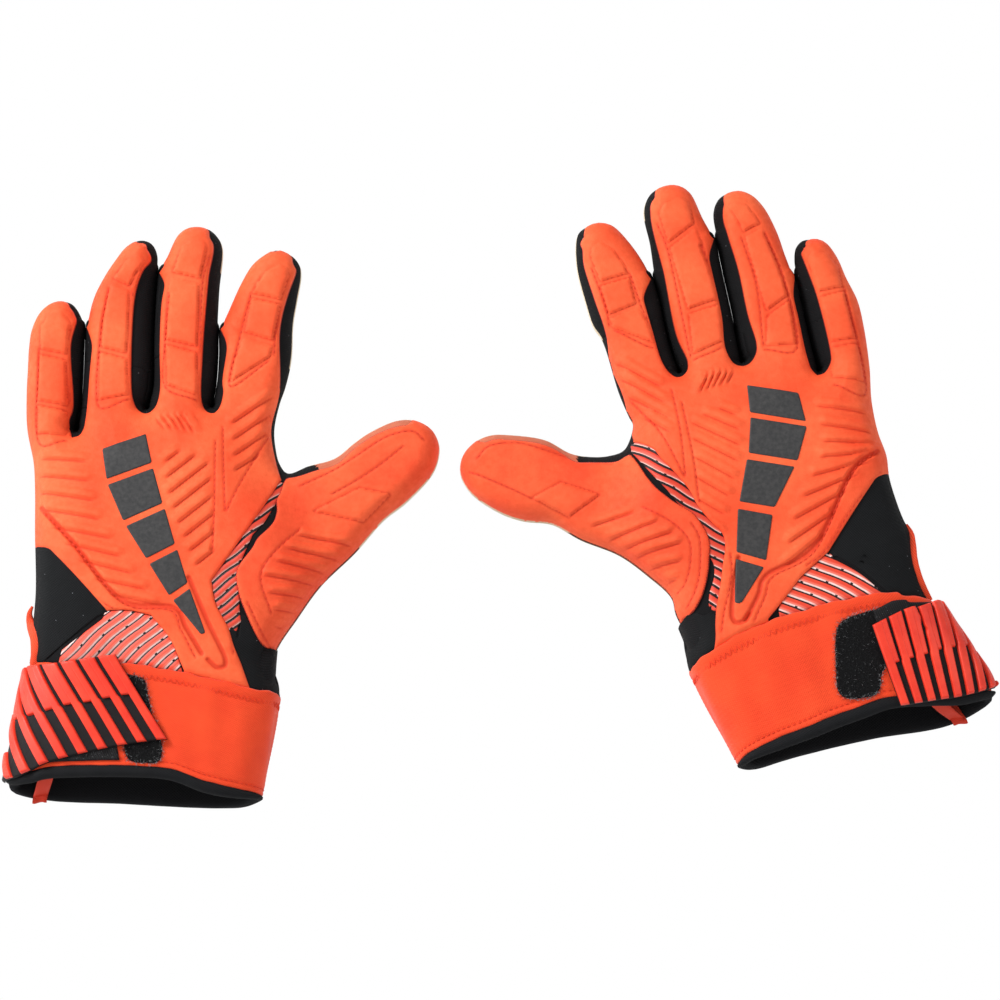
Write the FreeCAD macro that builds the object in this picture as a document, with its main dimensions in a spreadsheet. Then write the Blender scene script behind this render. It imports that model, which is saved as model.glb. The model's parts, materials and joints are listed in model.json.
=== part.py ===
import FreeCAD, Part
import math
import os
import Sketcher

# Pair of goalkeeper gloves lying palm down, fingers toward +Y, left glove at -X.
# Units are millimetres, z = 0 is the palm face both gloves rest on.
os.makedirs("parts", exist_ok=True)
Vector = FreeCAD.Vector
doc = FreeCAD.newDocument("goalkeeper_gloves")

# ---------------------------------------------------------------- driving sizes
SIZE = {
    # fingers and hand
    "palm_thickness": 4.0,        # latex palm with its backing
    "foam_thickness": 5.5,        # embossed foam of the finger backs
    "hand_slab": 5.5,             # foam on the back of the hand
    "gusset_thickness": 1.4,      # side fabric
    "finger_height": 25.0,        # palm face to top of a finger
    "axis_height": 10.0,          # height of every knuckle axis
    "top_gap": 1.7,               # half gap between back plates at a knuckle
    "piece_gap": 0.25,            # clearance between neighbouring layers
    "near_reach": 1.0,            # gusset and latex reach this far nearer the root than the back
    "root_side_margin": 1.0,      # hand edge beyond each side of a digit root
    "root_flex": 75.0, "middle_flex": 80.0,            # curl in degrees
    "thumb_root_flex": 45.0, "thumb_tip_flex": 60.0,
    "wedge_margin": 0.6,          # extra half width of a curl relief
    "block_height": 1.3,          # raised foam blocks on the fingers
    "block_sink": 0.5,            # depth of the blocks inside the foam
    "motif_thickness": 0.9,
    "motif_lift": 0.05,           # gap under the motif
    "print_drop": 0.4,            # grip print below the face of the back
    "side_drop": 0.8,             # side fabric below the face of the back
    "hand_plan_height": 40.0,     # upright plan prisms that trim the sloping layers
    # cuff and strap
    "cuff_half_width": 57.5, "cuff_height": 36.0, "cuff_corner": 12.0,
    "band_thickness": 3.0, "lining_thickness": 1.5, "pull_loop_thickness": 2.0,
    "patch_thickness": 0.9, "elastic_thickness": 1.3, "tab_thickness": 2.1,
    "strap_gap": 0.1,             # clearance between layers of the strap
    "strap_side_gap": 0.7,        # clearance between cuff edge and strap
    "rib_depth": 1.0,
    "cuff_plan_height": 60.0,
    # moves the pair so that its box is centred on the origin
    "pair_shift_x": -0.488, "pair_shift_y": -1.5515,
}
# digit: width at root knuckle, at middle knuckle, at tip
WIDTHS = {
    "little": (25.0, 25.0, 21.0),
    "ring": (27.0, 27.5, 24.0),
    "middle": (27.5, 28.0, 24.0),
    "index": (28.5, 29.5, 26.0),
    "thumb": (38.0, 33.0, 27.0),
}
# digit: root knuckle x, y, direction in degrees, root to middle knuckle, middle knuckle to tip
DIGITS = {
    "left": {
        "little": (-212.8, 39.0, 86.0, 29.1, 25.5),
        "ring": (-182.6, 47.2, 81.6, 22.1, 54.7),
        "middle": (-151.4, 51.1, 84.1, 21.0, 57.9),
        "index": (-120.5, 50.1, 77.6, 25.7, 44.1),
        "thumb": (-83.6, -9.1, 31.7, 29.7, 33.9),
    },
    "right": {
        "little": (164.4, 66.6, 105.0, 33.5, 26.1),
        "ring": (133.6, 69.7, 103.5, 20.2, 60.0),
        "middle": (99.6, 70.0, 101.2, 21.3, 59.9),
        "index": (66.5, 64.6, 106.8, 25.9, 43.9),
        "thumb": (42.5, 0.5, 168.8, 27.7, 34.6),
    },
}
for digit_name, widths in WIDTHS.items():
    for station, width in zip(("root", "mid", "end"), widths):
        SIZE["%s_%s_width" % (digit_name, station)] = width
for glove, digits in DIGITS.items():
    for digit_name, values in digits.items():
        for quantity, value in zip(("x", "y", "angle", "base_len", "tip_len"), values):
            SIZE["%s_%s_%s" % (glove, digit_name, quantity)] = value

sheet = doc.addObject("Spreadsheet::Sheet", "Sizes")
for row, (alias, value) in enumerate(SIZE.items(), 1):
    sheet.set("A%d" % row, alias)
    sheet.set("B%d" % row, repr(value))
    sheet.setAlias("B%d" % row, alias)
doc.recompute()

# ---------------------------------------------------------------- outlines in plan
# "out" is the X direction of the little finger side. "knuckle" is x, y and "turn" the angle
# of the hand's side profile; "cuff" is x, y, angle. All other lists are x, y points.
HAND = {
    "left": {
        "out": -1.0, "knuckle": (-166.0, 47.0), "turn": 0.0,
        "cuff": (-163.1, -114.9, -12.0), "pull_loop_y": -28.5,
        "back": [(-105.5, 30.0), (-104.5, 12.0), (-104.6, 2.4), (-134.9, -44.9),
                 (-130.6, -64.6), (-128.0, -84.2), (-145.0, -86.6), (-161.0, -61.0),
                 (-182.0, -58.4), (-216.0, -22.2), (-217.0, 12.0)],
        "side_panel": [(-217.6, -22.4), (-182.6, -59.5), (-203.4, -75.4), (-216.6, -79.0)],
        "wrist_print": [(-202.6, -75.9), (-182.0, -59.6), (-161.8, -62.0), (-146.6, -86.6),
                        (-171.0, -82.9), (-176.4, -79.2), (-202.0, -79.9)],
        "web_print": [(-103.9, 2.0), (-134.0, -44.9), (-129.7, -64.3), (-122.6, -68.6),
                      (-121.9, -54.2), (-112.0, -26.6), (-97.5, 2.6)],
        "thenar": [(-96.6, 3.0), (-111.0, -26.8), (-120.9, -54.4), (-118.9, -60.2),
                   (-113.0, -71.4), (-107.6, -79.6), (-99.0, -67.4), (-91.6, -55.6)],
        "thumb_base": [(-121.6, -70.8), (-115.3, -92.0), (-104.4, -94.4), (-103.6, -91.4),
                       (-108.4, -80.6), (-114.0, -72.9), (-119.0, -63.0)],
        "ulnar_line": [(-222.8, 30.0), (-220.7, 14.5), (-219.0, -15.7), (-218.0, -46.2),
                       (-219.5, -78.0)],
        "radial_line": [(-104.4, 30.0), (-103.0, 14.0), (-102.0, 7.0), (-96.5, 5.0)],
        "thenar_line": [(-86.0, -47.0), (-92.1, -54.8), (-103.2, -71.8), (-106.0, -80.3),
                        (-103.0, -92.6)],
        "palm_end": [(-103.2, -94.0), (-145.0, -87.9), (-171.0, -83.4), (-219.5, -78.9)],
        "motif": [(-189.0, -33.0), (-178.5, -46.0), (-170.0, -42.5), (-139.0, 21.0),
                  (-137.5, 29.0), (-142.5, 27.0), (-175.0, -24.0)],
        "band": [(-250.0, -84.4), (-171.0, -84.9), (-145.0, -89.4), (-115.0, -95.9),
                 (-80.0, -104.0), (-98.0, -147.6), (-134.6, -138.8), (-156.8, -131.8),
                 (-202.9, -131.8), (-250.0, -139.5)],
        "lining": [(-250.0, -85.4), (-171.0, -86.4), (-115.0, -97.4), (-80.0, -105.0),
                   (-98.0, -147.9), (-107.8, -147.3), (-165.0, -144.9), (-234.4, -143.4),
                   (-250.0, -144.0)],
        "patch": [(-177.0, -86.4), (-161.0, -95.7), (-161.7, -111.9), (-156.9, -121.2),
                  (-157.7, -129.8), (-171.5, -130.0), (-196.0, -130.0), (-203.5, -100.3),
                  (-200.0, -86.4)],
        "tab": [(-260.0, -80.5), (-177.1, -79.8), (-156.7, -117.0), (-170.4, -122.1),
                (-202.5, -131.8), (-245.0, -142.5), (-262.0, -120.0)],
    },
    "right": {
        "out": 1.0, "knuckle": (116.0, 69.0), "turn": 10.0,
        "cuff": (159.3, -90.9, 29.0), "pull_loop_y": -22.0,
        "back": [(50.9, 45.0), (57.0, 34.0), (62.8, 20.6), (98.3, -33.9), (100.5, -52.8),
                 (104.0, -68.9), (122.6, -64.0), (139.3, -42.8), (152.4, -30.5),
                 (179.0, 10.0), (180.0, 25.0)],
        "side_panel": [(181.0, 10.0), (153.3, -31.4), (183.2, -48.6), (196.6, -50.2),
                       (190.0, -17.0)],
        "wrist_print": [(124.0, -63.4), (139.9, -43.3), (153.0, -31.9), (182.4, -48.8),
                        (122.5, -64.4)],
        "web_print": [(62.0, 20.0), (97.4, -34.0), (99.5, -52.4), (92.4, -61.9),
                      (90.4, -47.9), (75.6, -15.0), (57.0, 13.0)],
        "thenar": [(56.4, 12.6), (74.9, -14.8), (89.5, -47.9), (88.6, -54.2), (85.2, -62.4),
                   (82.0, -57.9), (81.0, -51.3), (68.2, -40.0), (51.0, -28.2)],
        "thumb_base": [(92.2, -63.4), (99.4, -76.8), (89.8, -81.2), (88.6, -77.9),
                       (89.4, -70.8), (85.6, -64.2), (89.6, -56.0)],
        "ulnar_line": [(177.5, 30.0), (182.5, 17.9), (190.3, -12.8), (194.7, -19.0),
                       (200.0, -46.0)],
        "radial_line": [(49.8, 46.0), (55.0, 34.0), (58.5, 24.0), (54.5, 16.0)],
        "thenar_line": [(47.0, -24.7), (50.4, -26.7), (69.1, -38.6), (80.4, -49.1),
                        (87.7, -69.0), (88.2, -77.5)],
        "palm_end": [(89.5, -80.5), (98.7, -77.0), (120.6, -65.2), (182.6, -49.6),
                     (200.0, -48.0)],
        "motif": [(135.3, -4.0), (139.5, -18.0), (131.0, -27.0), (123.0, -26.0),
                  (104.5, 40.0), (106.0, 48.0), (111.0, 45.0), (131.0, 12.0)],
        "band": [(60.0, -95.6), (98.7, -79.0), (120.6, -67.0), (182.6, -51.3),
                 (196.6, -51.9), (260.0, -35.0), (260.0, -77.0), (177.6, -98.9),
                 (143.1, -122.1), (108.9, -129.1), (90.0, -136.0)],
        "lining": [(60.0, -97.6), (98.7, -81.0), (120.6, -69.0), (182.6, -53.3),
                   (260.0, -37.0), (260.0, -87.0), (237.7, -95.2), (112.6, -135.3),
                   (90.0, -142.5)],
        "patch": [(155.9, -67.2), (171.7, -62.1), (187.8, -72.3), (187.3, -98.3),
                  (178.0, -97.0), (167.4, -101.7), (156.4, -95.6)],
        "tab": [(171.3, -64.4), (199.3, -52.6), (235.0, -38.0), (262.0, -84.0),
                (223.9, -98.5), (179.9, -103.6)],
    },
}
# Face of the back of the hand seen from the side: y from the knuckles, z
HAND_RISE = [(12.0, 24.5), (2.0, 25.6), (-12.0, 29.0), (-28.0, 32.6), (-48.0, 35.4),
             (-70.0, 36.4), (-160.0, 36.4)]


# ---------------------------------------------------------------- helpers
def placed(x, y, angle=0.0):
    return FreeCAD.Placement(Vector(x, y, 0), FreeCAD.Rotation(Vector(0, 0, 1), angle))


def new_body(name, compound=False):
    body = doc.addObject("PartDesign::Body", name)
    if compound:
        body.AllowCompound = True
    return body


def new_sketch(body, name, outlines, role="XY_Plane", z=0.0):
    """Sketch on an origin plane of the body, holding closed polygons."""
    sketch = body.newObject("Sketcher::SketchObject", name)
    support = [item for item in body.Origin.OriginFeatures if item.Role == role][0]
    sketch.AttachmentSupport = [(support, "")]
    sketch.MapMode = "FlatFace"
    sketch.AttachmentOffset = FreeCAD.Placement(Vector(0, 0, z), FreeCAD.Rotation())
    for points in outlines:
        corners = [Vector(x, y, 0) for x, y in points]
        sketch.addGeometry([Part.LineSegment(start, end) for start, end
                            in zip(corners, corners[1:] + corners[:1])], False)
    return sketch


def pad(body, sketch, expression, name):
    feature = body.newObject("PartDesign::Pad", name)
    feature.Profile = sketch
    feature.Length = 1.0
    feature.setExpression("Length", expression)
    sketch.Visibility = False


def cut_through(body, name, cut_name, outline, role="XY_Plane"):
    pocket = body.newObject("PartDesign::Pocket", cut_name) if False else None
    sketch = new_sketch(body, name, [outline], role)
    pocket = body.newObject("PartDesign::Pocket", cut_name)
    pocket.Profile = sketch
    pocket.Type = 1    # through all
    pocket.Midplane = True


def plan_plate(name, outlines, z, thickness):
    """Plate standing on height z, outlines drawn in plan, thickness an expression."""
    body = new_body(name, len(outlines) > 1)
    sketch = new_sketch(body, name + "_outline", outlines, z=z)
    pad(body, sketch, thickness, name + "_pad")
    return body


def extrusion(name, sketch_suffix, outlines, role, length):
    """Body with a side section, extruded equally to both sides of its plane."""
    body = new_body(name)
    sketch = new_sketch(body, name + sketch_suffix, outlines, role)
    feature = body.newObject("PartDesign::Pad", name + "_pad")
    feature.Profile = sketch
    feature.Length = length
    feature.Midplane = True
    return body


def wall_outline(line, thickness):
    """Closed outline of a wall on the left side of an open line (right if negative)."""
    normals = []
    for (x0, y0), (x1, y1) in zip(line, line[1:]):
        length = math.hypot(x1 - x0, y1 - y0)
        normals.append((-(y1 - y0) / length, (x1 - x0) / length))
    offset = []
    # the end normals count twice, so both ends are cut square
    for (x, y), before, after in zip(line, normals[:1] + normals, normals + normals[-1:]):
        mitre_x, mitre_y = before[0] + after[0], before[1] + after[1]
        length = math.hypot(mitre_x, mitre_y)
        mitre_x, mitre_y = mitre_x / length, mitre_y / length
        stretch = thickness / max(0.5, mitre_x * after[0] + mitre_y * after[1])
        offset.append((x + mitre_x * stretch, y + mitre_y * stretch))
    return line + offset[::-1]


def common(name, base, tool):
    feature = doc.addObject("Part::Common", name)
    feature.Base = base
    feature.Tool = tool
    return feature


def group(name, links):
    feature = doc.addObject("Part::Compound", name)
    feature.Links = links
    return feature


# ---------------------------------------------------------------- digits
def digit_segment(glove, digit, part):
    """Sizes of one segment along the digit's own Y axis, with their expressions."""
    stem = "%s_%s_" % (glove, digit)
    gap = SIZE["top_gap"]
    base, tip = SIZE[stem + "base_len"], SIZE[stem + "tip_len"]
    base_ref = "Sizes.%sbase_len" % stem
    thumb = digit == "thumb"
    knuckles = [(SIZE["thumb_tip_flex" if thumb else "middle_flex"], base)]
    if part == "base":
        stations = ("root", "mid")
        near, far = gap, base - gap
        near_ref, far_ref = "Sizes.top_gap", base_ref + " - Sizes.top_gap"
        knuckles.insert(0, (SIZE["thumb_root_flex" if thumb else "root_flex"], 0.0))
    else:
        stations = ("mid", "end")
        near, far = base + gap, base + tip
        near_ref, far_ref = base_ref + " + Sizes.top_gap", base_ref + " + Sizes.%stip_len" % stem
    near_width, far_width = ["%s_%s_width" % (digit, station) for station in stations]
    return {
        "is_tip": part == "tip", "near": near, "far": far,
        "near_width": SIZE[near_width], "far_width": SIZE[far_width],
        "near_ref": near_ref, "far_ref": far_ref,
        "near_width_ref": "Sizes." + near_width, "far_width_ref": "Sizes." + far_width,
        "knuckles": knuckles,    # curl in degrees, place along the digit
    }


def draw_trapezoid(sketch, segment, reach):
    """Outline symmetric about the digit's Y axis; its near end is lengthened by reach."""
    near, far = segment["near"], segment["far"]
    near_ref = segment["near_ref"]
    if reach:
        near -= SIZE[reach]
        near_ref += " - Sizes." + reach
    near_width, far_width = segment["near_width"], segment["far_width"]
    corners = [Vector(-near_width / 2, near, 0), Vector(near_width / 2, near, 0),
               Vector(far_width / 2, far, 0), Vector(-far_width / 2, far, 0)]
    for i in range(4):
        sketch.addGeometry(Part.LineSegment(corners[i], corners[(i + 1) % 4]), False)
    for i in range(4):
        sketch.addConstraint(Sketcher.Constraint("Coincident", i, 2, (i + 1) % 4, 1))
    for i in (0, 2):
        sketch.addConstraint(Sketcher.Constraint("Symmetric", i, 1, i, 2, -2))
    dimensions = [
        ("near_width", "DistanceX", (0, 1, 0, 2), near_width, segment["near_width_ref"]),
        ("far_width", "DistanceX", (2, 2, 2, 1), far_width, segment["far_width_ref"]),
        ("near_end", "DistanceY", (-1, 1, 0, 1), near, near_ref),
        ("far_end", "DistanceY", (-1, 1, 2, 2), far, segment["far_ref"]),
    ]
    for name, kind, points, value, _ in dimensions:
        index = sketch.addConstraint(Sketcher.Constraint(kind, *points, value))
        sketch.renameConstraint(index, name)
    for name, _, _, _, expression in dimensions:
        sketch.setExpression("Constraints." + name, expression)


def round_tip(body, name, segment):
    """Rounds the two upright edges at the far end of a digit plate."""
    doc.recompute()
    plate = body.Tip
    edges = []
    for i, edge in enumerate(plate.Shape.Edges, 1):
        if len(edge.Vertexes) != 2:
            continue
        start, end = [vertex.Point for vertex in edge.Vertexes]
        upright = abs(start.x - end.x) < 1e-3 and abs(start.y - end.y) < 1e-3
        at_side = abs(abs(start.x) - segment["far_width"] / 2) < 0.05
        if upright and at_side and abs(start.y - segment["far"]) < 0.05:
            edges.append("Edge%d" % i)
    fillet = body.newObject("PartDesign::Fillet", name)
    fillet.Base = (plate, edges)
    fillet.Radius = 1.0
    fillet.setExpression("Radius", segment["far_width_ref"] + " * 0.46")


def digit_plate(name, segment, z, thickness, reach=None, compound=False):
    body = new_body(name, compound)
    sketch = new_sketch(body, name + "_outline", [], z=z)
    draw_trapezoid(sketch, segment, reach)
    pad(body, sketch, thickness, name + "_pad")
    if segment["is_tip"]:
        round_tip(body, name + "_round", segment)
    return body


def cut_reliefs(body, name, segment):
    """Wedges about each knuckle axis so that the digit can curl."""
    axis, margin = SIZE["axis_height"], SIZE["wedge_margin"]
    bottom, top = -1.0, 40.0
    for k, (flex, place) in enumerate(segment["knuckles"]):
        low = margin + (axis - bottom) * math.tan(math.radians(flex / 2.0))
        high = margin + (top - axis) * math.tan(math.radians(5.0))
        outline = [(place - low, bottom), (place - margin, axis), (place - high, top),
                   (place + high, top), (place + margin, axis), (place + low, bottom)]
        cut_through(body, "%s_relief%d" % (name, k), "%s_relief_cut%d" % (name, k),
                    outline, "YZ_Plane")


def digit_back(name, segment, thumb):
    """Foam back with raised blocks parted by slanted grooves."""
    top = SIZE["finger_height"]
    body = digit_plate(name, segment, top - SIZE["foam_thickness"], "Sizes.foam_thickness")
    near, far = segment["near"], segment["far"]
    count = 1
    if segment["is_tip"]:
        count = max(1, int(round((far - near - 6.0) / 19.0)))
    first, last = near + 2.0, far - (9.0 if segment["is_tip"] else 2.0)
    half = min(segment["near_width"], segment["far_width"]) * (0.3 if thumb else 0.24)
    pitch = (last - first) / count
    half_groove, slant = 0.7, 1.2
    blocks = []
    for i in range(count):
        low = first + i * pitch + half_groove
        high = first + (i + 1) * pitch - half_groove
        blocks.append([(-half, low + slant),
                       (half, low - slant if i else low),
                       (half, high - slant),
                       (-half, high + slant if i < count - 1 else high)])
    sketch = new_sketch(body, name + "_blocks", blocks, z=top - SIZE["block_sink"])
    pad(body, sketch, "Sizes.block_height + Sizes.block_sink", name + "_blocks_pad")
    return body


def digit_gusset(name, segment):
    """Side fabric: two walls, joined round the end of a tip."""
    body = digit_plate(name, segment, SIZE["palm_thickness"] + SIZE["piece_gap"],
                       "Sizes.finger_height - Sizes.foam_thickness - Sizes.palm_thickness"
                       " - 2 * Sizes.piece_gap", "near_reach", compound=True)
    wall = SIZE["gusset_thickness"]
    near, far = segment["near"], segment["far"]
    near_width, far_width = segment["near_width"], segment["far_width"]
    # the hollow runs past the open ends and keeps to the taper of the walls
    taper = (far_width - near_width) / (far - near + SIZE["near_reach"])
    near_half = (near_width - taper * 4.0) / 2 - wall
    if segment["is_tip"]:
        radius = far_width * 0.46 - wall
        centre_x, centre_y = far_width / 2 - wall - radius, far - wall - radius
        angles = [math.radians(10.0 * k) for k in range(10)]
        right = [(centre_x + radius * math.cos(angle), centre_y + radius * math.sin(angle))
                 for angle in angles]
    else:
        right = [((far_width + taper * 5.0) / 2 - wall, far + 5.0)]
    right.insert(0, (near_half, near - 5.0))
    outline = right + [(-x, y) for x, y in right[::-1]]
    cut_through(body, name + "_hollow", name + "_hollow_cut", outline)
    cut_reliefs(body, name, segment)
    return body


def digit_latex(name, segment):
    body = digit_plate(name, segment, 0.0, "Sizes.palm_thickness", "near_reach")
    cut_reliefs(body, name, segment)
    return body


def digit_pieces(glove, digit):
    x, y, angle = [SIZE["%s_%s_%s" % (glove, digit, key)] for key in ("x", "y", "angle")]
    pieces = []
    for part in ("base", "tip"):
        stem = "%s_%s_%s" % (glove, digit, part)
        segment = digit_segment(glove, digit, part)
        back = digit_back(stem + "_back", segment, digit == "thumb")
        stall = group(stem + "_stall", [digit_gusset(stem + "_gusset", segment),
                                        digit_latex(stem + "_latex", segment)])
        for piece in (back, stall):
            piece.Placement = placed(x, y, angle - 90.0)
            pieces.append(piece)
    return pieces


# ---------------------------------------------------------------- hand
def root_edge(glove, digit, setback):
    """Two plan points of the hand edge behind a digit root, thumb side first for fingers."""
    x, y, angle = [SIZE["%s_%s_%s" % (glove, digit, key)] for key in ("x", "y", "angle")]
    along_x, along_y = math.cos(math.radians(angle)), math.sin(math.radians(angle))
    half = SIZE[digit + "_root_width"] / 2.0 + SIZE["root_side_margin"]
    first = -HAND[glove]["out"] * half
    return [(x - setback * along_x + across * along_y, y - setback * along_y - across * along_x)
            for across in (first, -first)]


def knuckle_line(glove, setback):
    """Edge of the hand behind the four finger roots, from index to little."""
    points = []
    for finger in ("index", "middle", "ring", "little"):
        points += root_edge(glove, finger, setback)
    return points


def palm_setback(flex):
    """Distance from knuckle to palm edge that leaves room for the curl."""
    slope = math.tan(math.radians(SIZE[flex] / 2))
    return SIZE["axis_height"] * slope + SIZE["wedge_margin"]


def hand_layer(glove, name, plan_name, slab_name, outlines, bottom, top, base=10.0):
    """Plan outlines trimmed to a layer between two offsets from the hand's rising face.

    Without a bottom offset the layer reaches down to z = 0.
    """
    prefix = glove + "_"
    upper = [(y, z + top) for y, z in HAND_RISE]
    if bottom is None:
        lower = [(HAND_RISE[0][0], 0.0), (HAND_RISE[-1][0], 0.0)]
    else:
        lower = [(y, z + bottom) for y, z in HAND_RISE]
    slab = extrusion(prefix + slab_name, "_profile", [upper + lower[::-1]], "YZ_Plane", 320.0)
    slab.Placement = placed(*HAND[glove]["knuckle"], HAND[glove]["turn"])
    plan = plan_plate(prefix + plan_name, outlines, base, "Sizes.hand_plan_height")
    return common(prefix + name, plan, slab)


def back_pieces(glove):
    """Foam back, grip prints beside it and the motif on top."""
    shape = HAND[glove]
    foam, gap, lift = SIZE["hand_slab"], SIZE["top_gap"], SIZE["motif_lift"]
    panels = [shape["back"] + knuckle_line(glove, gap)[::-1],
              shape["thenar"] + root_edge(glove, "thumb", gap)]
    return [
        hand_layer(glove, "back_panel", "back_plan", "back_slab", panels, -foam, 0.0),
        hand_layer(glove, "grip_print", "print_plan", "print_slab",
                   [shape["wrist_print"], shape["web_print"]], -foam, -SIZE["print_drop"]),
        hand_layer(glove, "back_motif", "motif_plan", "motif_slab", [shape["motif"]],
                   lift, SIZE["motif_thickness"] + lift),
    ]


def side_gussets(glove):
    """Side fabric: little finger side panel, thumb base piece and upright walls."""
    shape = HAND[glove]
    foam, gap = SIZE["hand_slab"], SIZE["piece_gap"]
    inward = shape["out"] * SIZE["gusset_thickness"]
    top = hand_layer(glove, "side_top", "side_plan", "side_slab",
                     [shape["side_panel"], shape["thumb_base"]], -foam, -SIZE["side_drop"])
    walls = [wall_outline(shape["ulnar_line"], -inward),
             wall_outline(shape["radial_line"], inward),
             wall_outline(shape["thenar_line"], inward)]
    wall = hand_layer(glove, "side_wall", "wall_plan", "wall_room", walls,
                      None, -foam - gap, base=SIZE["palm_thickness"] + gap)
    return group(glove + "_side_gussets", [top, wall])


def palm_panel(glove):
    shape = HAND[glove]
    outline = (shape["ulnar_line"] + shape["palm_end"][::-1] + shape["thenar_line"][::-1]
               + root_edge(glove, "thumb", palm_setback("thumb_root_flex"))
               + shape["radial_line"][::-1] + knuckle_line(glove, palm_setback("root_flex")))
    return plan_plate(glove + "_palm_panel", [outline], 0.0, "Sizes.palm_thickness")


# ---------------------------------------------------------------- cuff
CUFF_LENGTH = 150.0    # tubes and strap layers before they are trimmed in plan
CUFF_PLAN_BASE = -5.0


def cuff_plan(glove, key):
    return plan_plate("%s_%s_plan" % (glove, key), [HAND[glove][key]], CUFF_PLAN_BASE,
                      "Sizes.cuff_plan_height")


def cuff_section(inset):
    """Rounded section of the cuff, offset inward by inset."""
    radius = SIZE["cuff_corner"] - inset
    centre_x = SIZE["cuff_half_width"] - inset - radius
    low, high = inset + radius, SIZE["cuff_height"] - inset - radius
    points = []
    for x, z, start in ((centre_x, low, -90), (centre_x, high, 0),
                        (-centre_x, high, 90), (-centre_x, low, 180)):
        for k in range(7):
            angle = math.radians(start + 15.0 * k)
            points.append((x + radius * math.cos(angle), z + radius * math.sin(angle)))
    return points


def cuff_tube(glove, name, key, inset, thickness):
    """Closed tube round the wrist, trimmed to its plan outline."""
    tube = extrusion("%s_%s_tube" % (glove, key), "_ring",
                     [cuff_section(inset), cuff_section(inset + thickness)],
                     "XZ_Plane", CUFF_LENGTH)
    tube.Placement = placed(*HAND[glove]["cuff"])
    return common(glove + name, tube, cuff_plan(glove, key))


def pull_loop(glove):
    """Flat rectangular loop at the cuff mouth, just above the lower lining."""
    shape = HAND[glove]
    x, y = shape["out"] * 38.0, shape["pull_loop_y"]
    z = SIZE["band_thickness"] + SIZE["lining_thickness"] + 2 * SIZE["piece_gap"] + 0.2
    outer_and_hole = [[(x - half_x, y - half_y), (x + half_x, y - half_y),
                       (x + half_x, y + half_y), (x - half_x, y + half_y)]
                      for half_x, half_y in ((5.5, 10.0), (2.5, 7.0))]
    body = new_body(glove + "_pull_loop_part")
    sketch = new_sketch(body, glove + "_pull_loop_outline", outer_and_hole, z=z)
    pad(body, sketch, "Sizes.pull_loop_thickness", glove + "_pull_loop_pad")
    body.Placement = placed(*shape["cuff"])
    return body


def cuff_pieces(glove):
    """Elastic band outside; lining inside with the pull loop."""
    band_thickness = SIZE["band_thickness"]
    band = cuff_tube(glove, "_wrist_band", "band", 0.0, band_thickness)
    lining = cuff_tube(glove, "_lining_part", "lining", band_thickness + SIZE["piece_gap"],
                       SIZE["lining_thickness"])
    return [band, group(glove + "_cuff_lining", [lining, pull_loop(glove)])]


def strap_layer(glove, name, x, z, thickness, low):
    """L-shaped layer: upright outside the wrist edge, then flat over the back."""
    chamfer = 5.0
    section = [(x, low), (x, z - chamfer), (x - chamfer, z), (0.0, z), (0.0, z + thickness),
               (x + thickness - chamfer, z + thickness),
               (x + thickness, z + thickness - chamfer), (x + thickness, low)]
    out = HAND[glove]["out"]
    return extrusion(glove + name, "_profile", [[(out * a, b) for a, b in section]],
                     "XZ_Plane", CUFF_LENGTH)


def cut_tab_grooves(glove, tab, strap_x, top):
    """Six grooves along the wrist, each stepped wider toward the cuff mouth."""
    out = HAND[glove]["out"]
    wide, thin = 3.2, 1.2
    mouth_end, step, hand_end = -50.0, -24.0, 16.0
    grooves = []
    for k in range(6):
        edge = strap_x - 8.0 - k * 7.0
        outline = [(edge, mouth_end), (edge - wide, mouth_end), (edge - wide, step),
                   (edge - thin, step), (edge - thin, hand_end), (edge, hand_end)]
        grooves.append([(out * x, y) for x, y in outline])
    name = glove + "_tab_grooves"
    pocket_sketch = new_sketch(tab, name, grooves, z=top - SIZE["rib_depth"])
    pocket = tab.newObject("PartDesign::Pocket", name + "_cut")
    pocket.Profile = pocket_sketch
    pocket.Length = 5.0
    pocket.Reversed = True    # cuts upward, out of the top face


def strap_pieces(glove):
    """Loop patch on the band, elastic with its hook pad, and the grooved tab on top."""
    shape = HAND[glove]
    gap, patch = SIZE["strap_gap"], SIZE["patch_thickness"]
    elastic_thickness, tab_thickness = SIZE["elastic_thickness"], SIZE["tab_thickness"]
    patch_z = SIZE["cuff_height"] + gap
    hook_z = patch_z + patch + gap
    elastic_z = hook_z + patch + gap
    tab_z = elastic_z + elastic_thickness + gap
    strap_x = SIZE["cuff_half_width"] + SIZE["strap_side_gap"]
    plan = cuff_plan(glove, "tab")

    loop_patch = plan_plate(glove + "_loop_patch", [shape["patch"]], patch_z,
                            "Sizes.patch_thickness")
    hook_plate = plan_plate(glove + "_hook_plan", [shape["patch"]], hook_z,
                            "Sizes.patch_thickness")
    hook = common(glove + "_hook_part", hook_plate, plan)

    layer = strap_layer(glove, "_elastic_layer", strap_x, elastic_z, elastic_thickness, 5.0)
    layer.Placement = placed(*shape["cuff"])
    elastic = common(glove + "_elastic_part", layer, plan)

    tab = strap_layer(glove, "_tab_layer", strap_x + elastic_thickness + gap, tab_z,
                      tab_thickness, 12.0)
    cut_tab_grooves(glove, tab, strap_x, tab_z + tab_thickness)
    tab.Placement = placed(*shape["cuff"])
    return [loop_patch, group(glove + "_strap_elastic", [elastic, hook]),
            common(glove + "_strap_tab", tab, plan)]


# ---------------------------------------------------------------- build, check and export
pieces = []
for glove in ("left", "right"):
    pieces += back_pieces(glove)
    pieces += [side_gussets(glove), palm_panel(glove)]
    pieces += cuff_pieces(glove) + strap_pieces(glove)
    for digit_name in WIDTHS:
        pieces += digit_pieces(glove, digit_name)
doc.recompute()

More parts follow.
